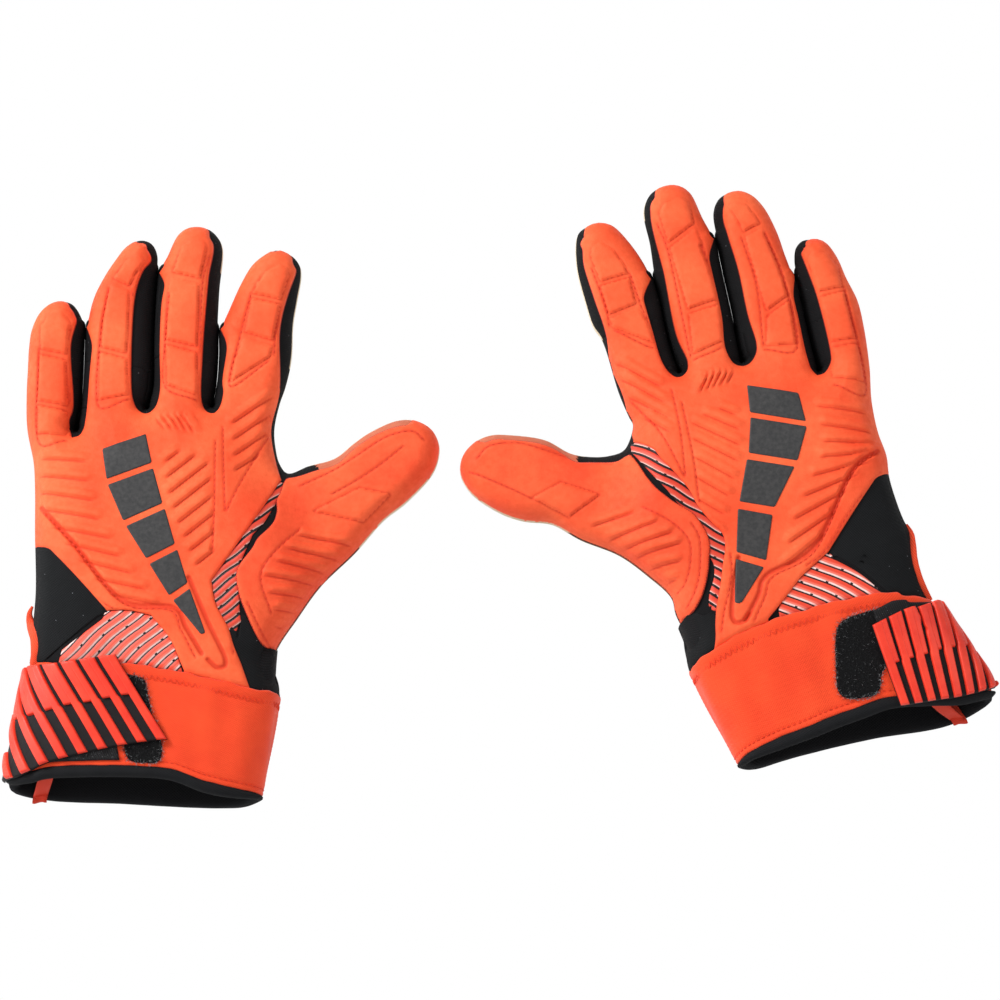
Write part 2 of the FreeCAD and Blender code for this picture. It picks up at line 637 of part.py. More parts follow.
shift = placed(SIZE["pair_shift_x"], SIZE["pair_shift_y"])
for piece in pieces:
    piece.Placement = shift.multiply(piece.Placement)
doc.recompute()

for item in doc.Objects:
    if "Invalid" in item.State or "Error" in item.State:
        raise RuntimeError("failed object %s %s" % (item.Name, item.State))
for piece in pieces:
    shape = piece.Shape
    if shape.isNull() or not shape.isValid() or len(shape.Solids) < 1:
        raise RuntimeError("bad shape " + piece.Label)
for piece in pieces:
    piece.Shape.exportStep("parts/%s.step" % piece.Label)
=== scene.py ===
"""A pair of padded gloves with latex palms, lying palm down side by side.

Fingers point to +Y, the cuffs to -Y and the backs of the hands face +Z. The left glove is on the
-X side, and both thumbs lie towards x = 0. Shapes are worked out in millimetres and turned into
metres when a mesh is made. Every glove is a fabric body, foam and print panels laid on its back,
stitches, and a cuff with band, lining, strap and loop patch.
"""
import json
import math
import random

import bpy
import numpy as np
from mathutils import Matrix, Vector, kdtree
from mathutils.geometry import delaunay_2d_cdt


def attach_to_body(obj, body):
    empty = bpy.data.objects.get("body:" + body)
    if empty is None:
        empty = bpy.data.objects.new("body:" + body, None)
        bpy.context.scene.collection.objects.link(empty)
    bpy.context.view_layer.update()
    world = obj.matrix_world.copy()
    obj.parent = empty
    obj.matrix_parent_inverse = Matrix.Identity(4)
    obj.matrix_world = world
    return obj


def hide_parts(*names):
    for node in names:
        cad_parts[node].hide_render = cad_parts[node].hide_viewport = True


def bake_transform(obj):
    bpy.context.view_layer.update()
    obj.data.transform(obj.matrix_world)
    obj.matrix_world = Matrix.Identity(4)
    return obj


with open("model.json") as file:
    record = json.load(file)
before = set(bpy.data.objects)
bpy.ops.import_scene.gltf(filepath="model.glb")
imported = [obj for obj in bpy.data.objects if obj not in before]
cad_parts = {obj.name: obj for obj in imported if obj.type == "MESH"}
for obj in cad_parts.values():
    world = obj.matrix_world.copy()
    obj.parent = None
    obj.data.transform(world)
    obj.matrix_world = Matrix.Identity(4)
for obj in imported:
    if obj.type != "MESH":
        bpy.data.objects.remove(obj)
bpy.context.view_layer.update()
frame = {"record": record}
RNG = np.random.default_rng(7)
random.seed(7)

GLOVES = ("left", "right")
DIGITS = ("little", "ring", "middle", "index", "thumb")
SIDE = {"left": 1, "right": -1}     # sign of x from the little finger to the thumb

# ------------------------------------------------------------------ main sizes, mm
MID_Z = 12.0            # height of the body's side seam
FOAM_HEIGHT = 2.0       # foam panels above the body
FOAM_EDGE = 1.9         # radius of their rounded edge
FOAM_GRID = 0.8
PRINT_GRID = 0.55
BAND_LENGTH = 48.0      # wrist band from its top edge to the mouth
PATCH_LENGTH = 45.0     # cuff length used to lay out the loop patch

# ------------------------------------------------------------------ measured outlines, (x, y) mm
# A third value of 1 marks a sharp corner.

# outline of each glove, without a closing point
OUTLINE = {
    "left": [
        (-224.8, 46.9), (-224.5, 58.0), (-224.2, 67.7), (-223.0, 77.4), (-219.4, 85.7),
        (-214.7, 90.1), (-209.9, 91.8), (-204.0, 90.6), (-200.3, 85.7), (-198.3, 79.4),
        (-198.4, 71.1), (-198.6, 56.6), (-199.3, 42.1), (-201.2, 29.0), (-200.4, 29.0),
        (-198.3, 42.1), (-197.5, 56.6), (-197.2, 71.1), (-196.6, 79.4), (-193.9, 92.5),
        (-189.2, 102.8), (-183.7, 111.6), (-178.5, 118.2), (-171.8, 121.6), (-166.4, 119.9),
        (-163.9, 114.5), (-164.2, 106.2), (-165.0, 95.5), (-165.6, 73.6), (-165.7, 49.3),
        (-168.2, 39.6), (-167.3, 39.6), (-164.8, 49.3), (-164.6, 73.6), (-163.8, 95.5),
        (-163.0, 105.2), (-159.2, 113.0), (-153.7, 124.3), (-148.0, 127.7), (-139.9, 127.2),
        (-135.1, 123.3), (-132.7, 117.9), (-134.1, 97.9), (-134.8, 77.9), (-134.6, 66.3),
        (-135.4, 51.7), (-137.5, 40.6), (-136.5, 40.6), (-134.4, 51.7), (-133.5, 66.3),
        (-133.3, 77.0), (-129.4, 87.2), (-123.5, 100.8), (-119.2, 108.3), (-115.6, 112.1),
        (-109.3, 116.1), (-105.9, 116.7), (-99.2, 113.7), (-95.7, 109.1), (-95.1, 104.2),
        (-96.9, 92.5), (-98.7, 80.8), (-99.5, 63.4), (-102.3, 50.3), (-104.9, 42.5),
        (-107.3, 30.0), (-106.6, 20.8), (-104.7, 13.6), (-100.7, 8.8), (-90.8, 12.3),
        (-78.5, 16.0), (-69.6, 23.2), (-62.0, 28.5), (-49.3, 34.1), (-40.7, 34.1),
        (-32.5, 29.5), (-29.2, 22.3), (-29.7, 15.1), (-32.5, 8.3), (-44.7, -5.1),
        (-55.2, -13.5), (-68.6, -29.0), (-84.9, -45.2), (-96.3, -61.4), (-103.9, -72.8),
        (-107.2, -80.8), (-106.4, -87.4), (-103.8, -95.4), (-103.0, -106.3), (-105.2, -119.9),
        (-111.2, -143.4), (-111.4, -147.1), (-130.1, -147.6), (-145.5, -147.6),
        (-177.7, -146.2), (-208.0, -144.3), (-226.2, -141.0), (-229.2, -135.4),
        (-226.7, -119.9), (-224.2, -103.5), (-221.7, -87.0), (-220.3, -76.5), (-219.6, -63.3),
        (-218.7, -47.6), (-219.5, -20.9), (-219.9, 0.2), (-220.8, 13.1), (-224.2, 30.0)],
    "right": [
        (62.5, 32.4), (60.8, 35.8), (55.8, 47.9), (48.1, 73.1), (43.7, 79.9), (40.3, 90.6),
        (36.0, 108.6), (36.0, 122.8), (37.5, 125.8), (44.4, 129.8), (48.7, 129.9),
        (53.5, 128.4), (64.1, 116.5), (71.9, 102.3), (75.2, 90.6), (77.7, 78.4), (80.7, 66.3),
        (84.2, 57.1), (85.2, 57.3), (82.0, 66.3), (78.9, 78.4), (76.4, 91.6), (73.6, 102.3),
        (71.1, 119.9), (68.1, 136.1), (71.0, 143.9), (76.0, 147.4), (81.8, 148.6),
        (86.6, 147.5), (90.8, 144.1), (96.3, 132.2), (101.2, 122.3), (105.1, 105.2),
        (109.2, 85.7), (112.1, 68.7), (113.9, 61.9), (114.9, 62.1), (113.3, 68.7),
        (110.4, 86.2), (106.4, 105.2), (103.3, 122.3), (101.5, 135.6), (104.2, 142.2),
        (112.4, 145.7), (119.7, 143.5), (125.8, 137.1), (131.9, 124.8), (135.3, 114.5),
        (138.7, 104.7), (142.5, 90.6), (146.1, 73.6), (150.0, 57.8), (150.9, 58.0),
        (147.3, 73.6), (143.7, 91.1), (141.1, 104.7), (139.9, 111.6), (140.7, 118.4),
        (143.6, 121.4), (148.0, 122.1), (151.3, 122.0), (155.3, 119.9), (160.2, 113.0),
        (164.5, 102.8), (169.6, 92.0), (172.2, 80.8), (174.9, 59.5), (175.6, 43.0),
        (178.3, 28.1), (182.2, 16.5), (183.3, 6.9), (186.3, -4.1), (190.0, -14.2),
        (193.7, -20.9), (197.6, -39.5), (202.1, -52.8), (209.9, -65.7), (219.0, -80.8),
        (228.1, -95.0), (226.1, -100.6), (206.7, -110.5), (172.9, -116.0), (139.7, -123.7),
        (115.3, -130.7), (110.6, -128.8), (108.0, -124.2), (98.7, -106.3), (88.9, -87.4),
        (86.8, -77.5), (87.4, -70.4), (82.1, -58.5), (80.0, -50.5), (68.9, -40.0),
        (55.6, -30.3), (37.7, -23.0), (24.0, -15.5), (10.8, -13.9), (0.5, -10.5),
        (-12.0, -2.7), (-16.7, 2.6), (-19.2, 8.3), (-19.2, 14.1), (-17.2, 18.9),
        (-10.9, 24.8), (-4.3, 27.2), (2.8, 27.3), (20.8, 24.8), (33.1, 18.3), (42.1, 16.7),
        (51.1, 17.2), (58.2, 20.1)],
}
# raised blocks on the fingers, three to a finger
BLOCKS = {
    "left": [
        [(-217.3, 77.4), (-213.6, 82.7), (-207.0, 83.2), (-203.6, 79.3), (-204.8, 63.9),
         (-217.0, 66.3)],
        [(-217.7, 63.4), (-205.4, 60.5), (-204.1, 38.9), (-217.5, 41.3)],
        [(-217.5, 38.5), (-204.3, 35.6), (-204.5, 24.6), (-217.2, 25.1)],
        [(-183.2, 100.6), (-176.8, 109.8), (-171.1, 111.7), (-168.7, 108.8), (-173.3, 102.5),
         (-175.6, 96.7)],
        [(-184.6, 97.9), (-176.0, 94.0), (-176.8, 64.4), (-188.3, 67.3), (-187.6, 80.3)],
        [(-188.8, 64.4), (-176.7, 61.0), (-175.7, 44.2), (-188.9, 41.3)],
        [(-154.9, 103.5), (-151.3, 115.6), (-147.1, 118.5), (-140.9, 118.5), (-139.5, 115.6),
         (-142.6, 100.6)],
        [(-156.1, 100.6), (-143.1, 97.4), (-143.6, 67.5), (-157.8, 71.1), (-157.6, 91.4)],
        [(-158.0, 68.0), (-143.6, 64.1), (-143.3, 44.2), (-157.0, 49.0)],
        [(-115.2, 97.7), (-111.0, 103.5), (-104.9, 106.9), (-101.1, 104.9), (-100.6, 102.0),
         (-104.3, 90.4), (-117.0, 93.3)],
        [(-117.7, 90.4), (-104.5, 87.5), (-107.9, 70.6), (-120.6, 74.5)],
        [(-121.3, 71.6), (-108.3, 67.5), (-109.2, 62.5), (-127.0, 50.9), (-125.6, 60.0)]],
    "right": [
        [(161.1, 96.6), (149.7, 94.1), (145.4, 109.9), (147.5, 113.6), (154.4, 112.5),
         (159.6, 106.8)],
        [(167.2, 71.4), (153.6, 69.3), (150.9, 90.9), (162.3, 93.9)],
        [(170.8, 50.3), (156.3, 52.0), (154.2, 65.7), (167.9, 68.2)],
        [(115.0, 123.1), (112.5, 129.3), (108.0, 135.5), (111.2, 137.5), (116.6, 135.7),
         (122.4, 127.1)],
        [(130.7, 106.6), (135.3, 92.3), (125.6, 84.9), (115.8, 120.2), (123.8, 124.5)],
        [(138.8, 68.6), (125.1, 67.7), (126.1, 81.7), (136.4, 89.4)],
        [(79.4, 118.0), (75.3, 132.1), (77.5, 136.6), (84.7, 139.7), (88.9, 138.1),
         (91.2, 127.2)],
        [(95.9, 114.3), (103.0, 90.9), (88.5, 85.7), (80.3, 115.0), (92.4, 124.6)],
        [(104.7, 70.3), (90.7, 63.8), (89.1, 82.7), (104.0, 87.7)],
        [(59.7, 102.8), (47.1, 99.1), (42.6, 111.2), (43.0, 114.9), (46.8, 117.9),
         (53.1, 113.7), (57.8, 107.0)],
        [(63.5, 88.1), (51.2, 83.0), (47.4, 96.4), (60.4, 100.3)],
        [(69.8, 77.4), (72.2, 69.4), (53.1, 76.8), (51.8, 80.6), (64.3, 86.0)]],
}
# straight ribs on the back of the hand, by their two ends
RIBS = {
    "left": [
        [(-215.1, 15.1), (-194.0, 13.2)], [(-215.4, 7.0), (-192.0, 3.7)],
        [(-215.2, -1.1), (-189.5, -5.8)], [(-214.6, -9.1), (-186.1, -14.8)],
        [(-208.4, -18.1), (-181.3, -23.8)], [(-201.7, -26.2), (-176.5, -32.3)],
        [(-195.1, -34.2), (-170.8, -40.3)], [(-187.9, -42.7), (-164.6, -47.8)],
        [(-180.4, -50.2), (-159.4, -54.9)], [(-158.5, 12.2), (-152.0, 17.4)],
        [(-157.9, 4.6), (-144.5, 15.5)], [(-156.4, -3.0), (-138.4, 11.7)],
        [(-154.4, -10.1), (-136.9, 4.1)], [(-152.0, -17.2), (-136.3, -4.4)],
        [(-149.1, -23.8), (-135.7, -12.9)], [(-146.2, -30.4), (-135.2, -21.4)],
        [(-143.4, -37.0), (-134.6, -29.9)], [(-159.7, 33.6), (-155.9, 28.4)],
        [(-156.4, 34.1), (-152.1, 27.9)], [(-153.2, 34.6), (-148.4, 27.4)],
        [(-149.9, 34.6), (-145.1, 27.0)], [(-146.6, 34.1), (-141.8, 26.5)],
        [(-127.8, 32.2), (-109.2, 45.6)], [(-127.3, 24.1), (-109.2, 37.9)],
        [(-126.7, 16.0), (-111.4, 28.4)], [(-126.2, 8.4), (-115.5, 17.0)]],
    "right": [
        [(171.1, 36.8), (148.4, 39.6)], [(173.7, 27.4), (150.0, 30.5)],
        [(175.3, 21.6), (150.7, 22.5)], [(176.0, 17.4), (149.0, 14.8)],
        [(171.1, 12.8), (144.6, 5.7)], [(165.4, 6.6), (140.0, -4.2)],
        [(159.5, -1.6), (135.4, -15.0)], [(153.5, -11.9), (132.3, -26.5)],
        [(147.9, -22.7), (130.8, -37.0)], [(110.9, 35.2), (102.7, 38.7)],
        [(112.6, 28.1), (95.9, 35.6)], [(112.9, 20.4), (90.9, 31.2)],
        [(111.9, 12.8), (91.1, 23.6)], [(110.0, 4.4), (92.0, 14.6)],
        [(107.6, -4.0), (92.6, 4.9)], [(105.4, -12.8), (92.9, -5.3)],
        [(103.5, -21.8), (93.3, -15.8)], [(106.9, 55.5), (104.0, 49.8)],
        [(103.9, 55.6), (100.6, 48.7)], [(100.8, 55.6), (97.2, 47.4)],
        [(97.8, 55.0), (94.2, 46.3)], [(94.7, 53.8), (91.1, 45.2)],
        [(76.4, 49.8), (55.4, 62.4)], [(77.8, 42.0), (57.1, 55.0)],
        [(79.2, 34.4), (61.8, 45.7)], [(80.5, 27.0), (68.9, 34.9)]],
}
# film patches in a column on the back of the hand
MOTIF = {
    "left": [
        [(-186.8, 16.9), (-166.3, 24.5), (-162.9, 9.8), (-184.2, 1.7)],
        [(-183.7, -0.7), (-162.4, 7.4), (-157.5, -9.7), (-176.0, -18.2)],
        [(-174.8, -20.5), (-156.5, -12.0), (-151.4, -29.0), (-165.0, -36.1)],
        [(-163.6, -38.4), (-150.4, -31.4), (-145.3, -47.4), (-154.1, -53.5)],
        [(-152.4, -55.6), (-144.4, -49.7), (-136.7, -70.8), (-139.0, -71.8)]],
    "right": [
        [(142.8, 29.2), (116.3, 33.8), (115.3, 47.9), (139.6, 43.7)],
        [(138.5, 10.3), (115.4, 14.1), (116.6, 31.6), (143.2, 27.1)],
        [(127.5, -11.9), (110.8, -9.1), (114.6, 11.4), (137.2, 7.7)],
        [(123.3, -37.0), (109.2, -33.0), (110.1, -12.2), (126.6, -15.2)],
        [(111.4, -57.3), (108.3, -56.9), (109.0, -35.9), (122.4, -39.9)]],
}
# slits between neighbouring fingers, from the fingertips to the root
SLITS = {
    "left": [((-197.5, 81.0), (-200.8, 29.5)), ((-163.3, 108.0), (-168.0, 40.0)),
             ((-134.0, 80.0), (-138.0, 41.5))],
    "right": [((72.5, 105.0), (84.0, 58.0)), ((102.0, 124.0), (113.5, 63.0)),
              ((139.5, 105.0), (150.0, 59.0))],
}
# foam panel over the back of the hand and the four fingers
BACK = {
    "left": [
        (-218.9, 16.0), (-221.8, 32.7), (-221.2, 48.5), (-218.8, 58.6), (-220.3, 64.4),
        (-220.4, 71.1), (-219.1, 76.4), (-216.9, 81.2), (-212.2, 85.6), (-208.9, 86.8),
        (-203.8, 86.8), (-201.6, 83.6), (-201.0, 79.8), (-203.0, 68.7), (-201.5, 38.9),
        (-203.2, 31.3), (-201.5, 23.6, 1), (-198.4, 24.6), (-196.4, 28.4), (-195.5, 33.7),
        (-193.9, 60.5), (-190.1, 89.0), (-181.4, 105.9), (-176.3, 112.7), (-171.6, 115.3),
        (-168.3, 115.6), (-166.0, 112.0), (-166.3, 109.0), (-169.3, 104.5), (-172.9, 91.9),
        (-173.9, 48.0), (-172.9, 41.3), (-171.0, 37.7), (-167.2, 35.6), (-164.4, 37.0),
        (-162.3, 39.9), (-161.0, 45.6), (-161.5, 68.2), (-160.4, 92.3), (-157.7, 100.6),
        (-157.3, 107.3), (-151.4, 119.0), (-148.1, 121.9), (-140.0, 121.4), (-136.5, 118.0),
        (-138.4, 100.6), (-140.7, 62.9), (-140.5, 39.9), (-137.6, 36.1), (-135.2, 35.8),
        (-132.9, 38.5), (-131.1, 45.6), (-131.7, 51.4), (-130.2, 62.5), (-126.8, 83.2),
        (-119.9, 98.1), (-116.7, 104.0), (-112.5, 107.8), (-105.4, 111.0), (-100.2, 109.5),
        (-97.1, 105.9), (-97.3, 103.5), (-101.0, 91.9), (-104.2, 76.9), (-104.4, 48.5),
        (-108.4, 28.9), (-106.9, 17.0), (-103.0, 3.6, 1), (-113.6, -15.4),
        (-134.3, -46.1, 1), (-132.3, -56.5), (-126.3, -68.0), (-123.6, -76.5),
        (-120.3, -84.5), (-114.6, -100.5, 1), (-147.2, -95.5, 1), (-147.0, -88.0, 1),
        (-154.0, -73.0), (-162.5, -62.6, 1), (-172.7, -60.3), (-183.0, -60.3, 1),
        (-200.1, -41.4), (-217.2, -23.9, 1), (-218.3, -2.1)],
    "right": [
        (62.3, 22.2, 1), (61.5, 29.4), (58.2, 43.3), (51.7, 61.5), (49.9, 73.0),
        (43.9, 91.4), (39.0, 108.3), (38.5, 115.1), (37.6, 118.5), (39.0, 120.9),
        (44.5, 124.1), (49.2, 124.1), (54.4, 120.9), (60.9, 108.8), (65.6, 96.7),
        (70.9, 78.3), (76.4, 59.6), (79.9, 54.8), (82.7, 53.1), (85.3, 53.8), (87.7, 56.7),
        (88.0, 60.0), (82.9, 73.0), (77.0, 103.5), (71.0, 131.6), (71.5, 138.4),
        (75.3, 141.6), (81.0, 142.6), (87.2, 140.9), (90.7, 136.5), (91.8, 131.1),
        (96.9, 117.5), (100.6, 102.0), (104.6, 82.2), (105.9, 67.3), (107.8, 62.5),
        (110.5, 59.3), (115.0, 58.8), (118.3, 61.0), (120.3, 64.9), (120.3, 69.2),
        (116.7, 82.2), (112.2, 104.9), (107.4, 121.9), (105.3, 131.1), (106.3, 137.5),
        (110.9, 139.7), (115.6, 139.2), (119.4, 137.0), (123.6, 132.1), (130.6, 120.5),
        (135.4, 104.0), (138.6, 92.0), (141.4, 79.0), (143.2, 69.0), (144.6, 62.5),
        (146.1, 57.8), (149.1, 53.8, 1), (152.4, 55.2), (155.3, 60.0), (155.3, 63.9),
        (149.3, 91.9), (143.6, 109.3), (142.5, 114.1), (146.1, 116.3), (149.9, 116.3),
        (155.0, 112.7), (158.0, 108.8), (161.0, 101.5), (162.3, 95.2), (165.1, 90.9),
        (167.4, 83.2), (167.9, 75.0), (171.3, 62.9), (173.1, 44.7), (175.7, 27.5),
        (180.3, 10.3, 1), (166.4, -10.6), (152.6, -32.4, 1), (139.4, -44.7, 1),
        (132.3, -54.1), (124.2, -64.0, 1), (125.6, -75.5, 1), (96.6, -88.5, 1),
        (99.3, -73.5), (99.3, -65.4), (99.9, -58.1), (101.4, -49.5), (102.2, -43.7),
        (102.9, -37.9), (103.9, -32.1), (103.7, -26.7), (102.1, -22.9), (99.3, -20.4),
        (91.5, -11.0), (87.9, -3.9), (83.6, 1.8), (79.5, 6.6), (75.1, 11.2), (71.4, 16.8),
        (67.0, 19.7)],
}
# foam panel over the thumb
THUMB = {
    "left": [
        (-100.8, 5.1, 1), (-95.3, 5.9), (-86.7, 8.7), (-77.5, 11.5), (-69.1, 19.3),
        (-55.1, 27.7), (-41.4, 30.3), (-33.4, 26.0), (-30.6, 20.0), (-31.3, 12.8),
        (-34.3, 5.7), (-41.8, -2.9), (-55.8, -14.4), (-70.7, -30.0), (-85.6, -46.1),
        (-93.0, -57.0), (-100.3, -69.3), (-107.7, -80.1, 1), (-111.1, -76.0),
        (-115.4, -68.6), (-118.6, -61.2), (-121.1, -55.0), (-122.7, -48.8), (-123.3, -43.2),
        (-122.2, -39.2), (-119.5, -35.2), (-116.1, -30.8), (-113.4, -25.9), (-109.2, -21.5),
        (-106.2, -17.2), (-105.0, -11.6), (-105.3, -6.6), (-103.5, -2.2), (-102.2, 2.4)],
    "right": [
        (60.7, 16.0, 1), (62.6, 13.5), (65.1, 9.6), (67.6, 5.1), (70.1, 1.3), (73.2, -2.5),
        (77.0, -5.7), (80.7, -8.6), (84.5, -10.8), (89.5, -14.0), (92.6, -17.8),
        (95.1, -21.7), (96.9, -26.1), (97.5, -29.9), (97.1, -34.4), (96.8, -39.5),
        (95.8, -45.8), (94.2, -51.5), (91.6, -57.2), (87.8, -62.2), (85.3, -65.1, 1),
        (82.8, -59.7), (80.0, -52.8), (67.3, -40.9), (54.3, -31.0), (38.4, -24.3),
        (21.1, -15.3), (5.1, -13.2), (-1.4, -10.3), (-12.2, -2.2), (-16.2, 3.3),
        (-17.2, 10.9), (-13.7, 18.1), (-3.3, 23.6), (1.9, 23.6), (18.3, 21.7), (27.3, 18.1),
        (35.2, 12.8), (41.8, 12.6), (48.1, 12.5), (54.4, 12.8), (58.8, 15.4)],
}
# thin panels: little-finger side, base of the thumb, web of the thumb, print above the wrist
THIN_PANELS = {
    "left": {
        "side": [
            (-216.7, -25.3, 1), (-200.1, -42.8), (-183.9, -60.3, 1), (-204.1, -76.7, 1),
            (-217.5, -83.3, 1), (-217.2, -73.0), (-216.2, -50.4)],
        "thumb_base": [
            (-128.5, -67.6, 1), (-125.5, -83.1, 1), (-116.1, -95.3, 1), (-103.4, -98.6, 1),
            (-104.0, -92.5), (-107.3, -82.6, 1), (-111.6, -77.9), (-115.4, -71.8),
            (-120.6, -61.4, 1), (-121.9, -71.8, 1)],
        "web": [
            (-102.0, 3.0, 1), (-112.8, -15.3), (-133.3, -45.7, 1), (-131.3, -55.6),
            (-128.2, -65.9), (-124.2, -69.4, 1), (-120.2, -65.7, 1), (-121.2, -60.1),
            (-121.3, -53.9), (-121.9, -48.4), (-121.9, -43.4), (-121.2, -38.6),
            (-119.5, -33.9), (-116.6, -27.2), (-114.6, -22.3), (-111.6, -16.6),
            (-108.2, -9.8), (-105.7, -4.2), (-103.9, -0.1), (-102.2, 3.9, 1)],
        "wrist": [
            (-203.7, -78.2, 1), (-182.6, -62.0, 1), (-172.4, -62.0), (-162.6, -64.4, 1),
            (-154.6, -74.0), (-146.9, -88.0, 1), (-162.7, -88.0), (-173.9, -86.6, 1),
            (-191.5, -86.6), (-206.3, -84.8, 1)],
    },
    "right": {
        "side": [
            (180.8, 8.4, 1), (166.9, -12.1), (153.5, -33.4, 1), (168.3, -41.9),
            (182.6, -50.4, 1), (196.6, -53.2, 1), (193.1, -37.6), (189.2, -22.0),
            (184.7, -8.3)],
        "thumb_base": [
            (100.6, -67.0, 1), (100.3, -79.4, 1), (89.5, -88.8, 1), (87.7, -83.1),
            (86.0, -74.2), (85.5, -66.2, 1), (88.3, -64.0), (91.0, -61.5, 1),
            (97.6, -61.5, 1)],
        "web": [
            (62.5, 20.5, 1), (67.0, 19.0), (71.4, 16.1), (75.1, 10.5), (79.5, 5.9),
            (83.6, 1.1), (87.9, -4.6), (91.5, -11.7), (99.3, -20.4), (102.1, -22.9),
            (103.7, -26.7), (103.9, -32.1), (102.9, -37.9), (102.2, -43.7),
            (101.6, -58.7, 1), (98.3, -57.7, 1), (98.8, -46.6), (98.8, -38.7),
            (96.9, -34.5), (96.2, -28.8), (95.4, -24.7), (92.8, -19.5), (88.4, -14.6),
            (82.1, -9.3), (77.1, -2.9), (73.3, 1.2), (68.3, 7.4), (63.3, 13.9),
            (60.8, 17.2, 1)],
        "wrist": [
            (124.4, -66.0, 1), (132.4, -55.9), (140.0, -46.3, 1), (152.5, -34.5, 1),
            (167.5, -43.0), (181.3, -51.5, 1), (176.1, -56.2), (164.5, -59.0),
            (138.8, -65.1), (123.5, -68.4, 1)],
    },
}
THUMB_BLOCKS = {
    "left": [[(-87.3, -11.4), (-66.3, -0.7), (-52.2, -3.5), (-64.8, -16.4)]],
    "right": [[(15.2, -5.2), (28.3, 2.1), (45.8, -3.7), (31.8, -13.9)]],
}
THUMB_RIBS = {
    "left": [
        [(-94.0, -21.2), (-70.0, -25.0)], [(-99.0, -28.0), (-75.3, -31.9)],
        [(-103.3, -34.5), (-80.2, -38.4)], [(-109.4, -41.3), (-84.4, -44.3)],
        [(-107.4, -49.3), (-89.9, -50.2)], [(-105.0, -56.8), (-94.1, -57.0)],
        [(-104.6, -64.0), (-99.0, -64.4)]],
    "right": [
        [(61.0, -10.9), (42.0, -16.2)], [(71.8, -15.8), (50.0, -22.8)],
        [(78.7, -20.9), (55.1, -27.9)], [(83.0, -26.0), (60.4, -31.7)],
        [(83.0, -34.2), (67.9, -36.8)], [(81.6, -42.2), (74.5, -43.5)]],
}
# stitched lines on the thumb and on the back panel
THUMB_SEAMS = {
    "left": [
        [(-94.1, -20.4), (-105.2, -32.3), (-111.7, -44.1), (-106.8, -61.1)],
        [(-94.3, 0.5), (-80.3, 7.2), (-68.1, 14.8), (-54.1, 23.9), (-41.9, 26.8),
         (-36.2, 22.5)],
        [(-117.6, -56.4), (-111.4, -69.6), (-106.7, -77.1)],
        [(-79.5, -3.5), (-69.0, 2.5), (-57.0, 10.5), (-46.0, 19.5)]],
    "right": [
        [(66.0, -11.0), (80.0, -19.0), (87.5, -27.5), (88.0, -38.0), (85.5, -47.0),
         (81.5, -51.0)],
        [(52.2, 11.2), (36.9, 12.6), (23.6, 16.9), (7.8, 21.3), (-5.4, 19.7), (-11.4, 13.6)],
        [(88.6, -19.0), (92.2, -26.0), (92.6, -38.0), (90.8, -49.0), (86.5, -58.0)],
        [(-14.9, 7.5), (-8.2, 4.8), (5.3, -1.1), (14.3, -5.5)]],
}
BACK_SEAMS = {
    "left": [
        [(-218.1, 66.6), (-217.5, 22.1), (-203.7, 21.2)], [(-203.0, 75.8), (-202.9, 40.3)],
        [(-185.7, 95.5), (-189.1, 73.8), (-189.5, 38.8), (-175.0, 41.7)],
        [(-174.1, 94.1), (-175.2, 73.8), (-174.3, 44.1)],
        [(-156.9, 93.1), (-158.7, 69.0), (-158.2, 47.9), (-143.1, 41.2)],
        [(-138.3, 111.5), (-141.6, 93.1), (-141.9, 42.6)],
        [(-118.3, 93.1), (-122.8, 73.8), (-127.7, 48.4), (-109.5, 60.4)],
        [(-100.4, 97.0), (-105.9, 76.2), (-107.2, 63.3)],
        [(-130.7, 28.3), (-129.6, 6.9), (-128.6, -13.1)],
        [(-127.9, -13.1), (-118.8, 6.9), (-109.2, 25.0)],
        [(-133.9, 21.2), (-133.6, -7.4), (-134.2, -32.0)],
        [(-213.8, -13.1), (-199.1, -29.1), (-175.8, -56.5), (-153.4, -60.2),
         (-148.2, -69.6), (-141.5, -82.3)],
        [(-214.0, -28.7), (-197.9, -45.2), (-180.9, -58.8), (-167.8, -59.8)],
        [(-130.3, -50.8), (-126.4, -66.8), (-123.9, -80.4)]],
    "right": [
        [(162.2, 96.7), (171.9, 46.1), (156.2, 47.7)], [(145.6, 106.2), (152.2, 70.5)],
        [(125.1, 122.2), (133.9, 100.0), (139.5, 66.4), (124.2, 65.4)],
        [(113.8, 120.2), (120.9, 95.9), (123.6, 67.2)],
        [(94.6, 116.4), (104.5, 88.8), (106.0, 69.2), (90.7, 60.5)],
        [(74.1, 127.1), (79.9, 110.0), (89.4, 61.8)],
        [(60.9, 102.7), (65.8, 87.8), (73.3, 66.9), (53.6, 75.1)],
        [(42.8, 105.5), (49.2, 86.9), (51.1, 76.9)],
        [(80.1, 45.9), (83.8, 25.7), (86.0, 3.5)],
        [(85.4, 3.4), (74.4, 25.1), (60.9, 41.8)],
        [(84.7, 39.5), (89.9, 10.9), (93.2, -18.5)],
        [(175.8, 15.7), (163.1, 3.8), (146.3, -31.7), (126.3, -44.5), (122.5, -53.7),
         (117.4, -65.1)],
        [(177.7, 6.2), (163.6, -11.7), (150.8, -31.9), (141.9, -39.1)],
        [(106.6, -33.5), (107.2, -42.0), (105.6, -52.0), (103.6, -60.0), (102.2, -70.0)]],
}
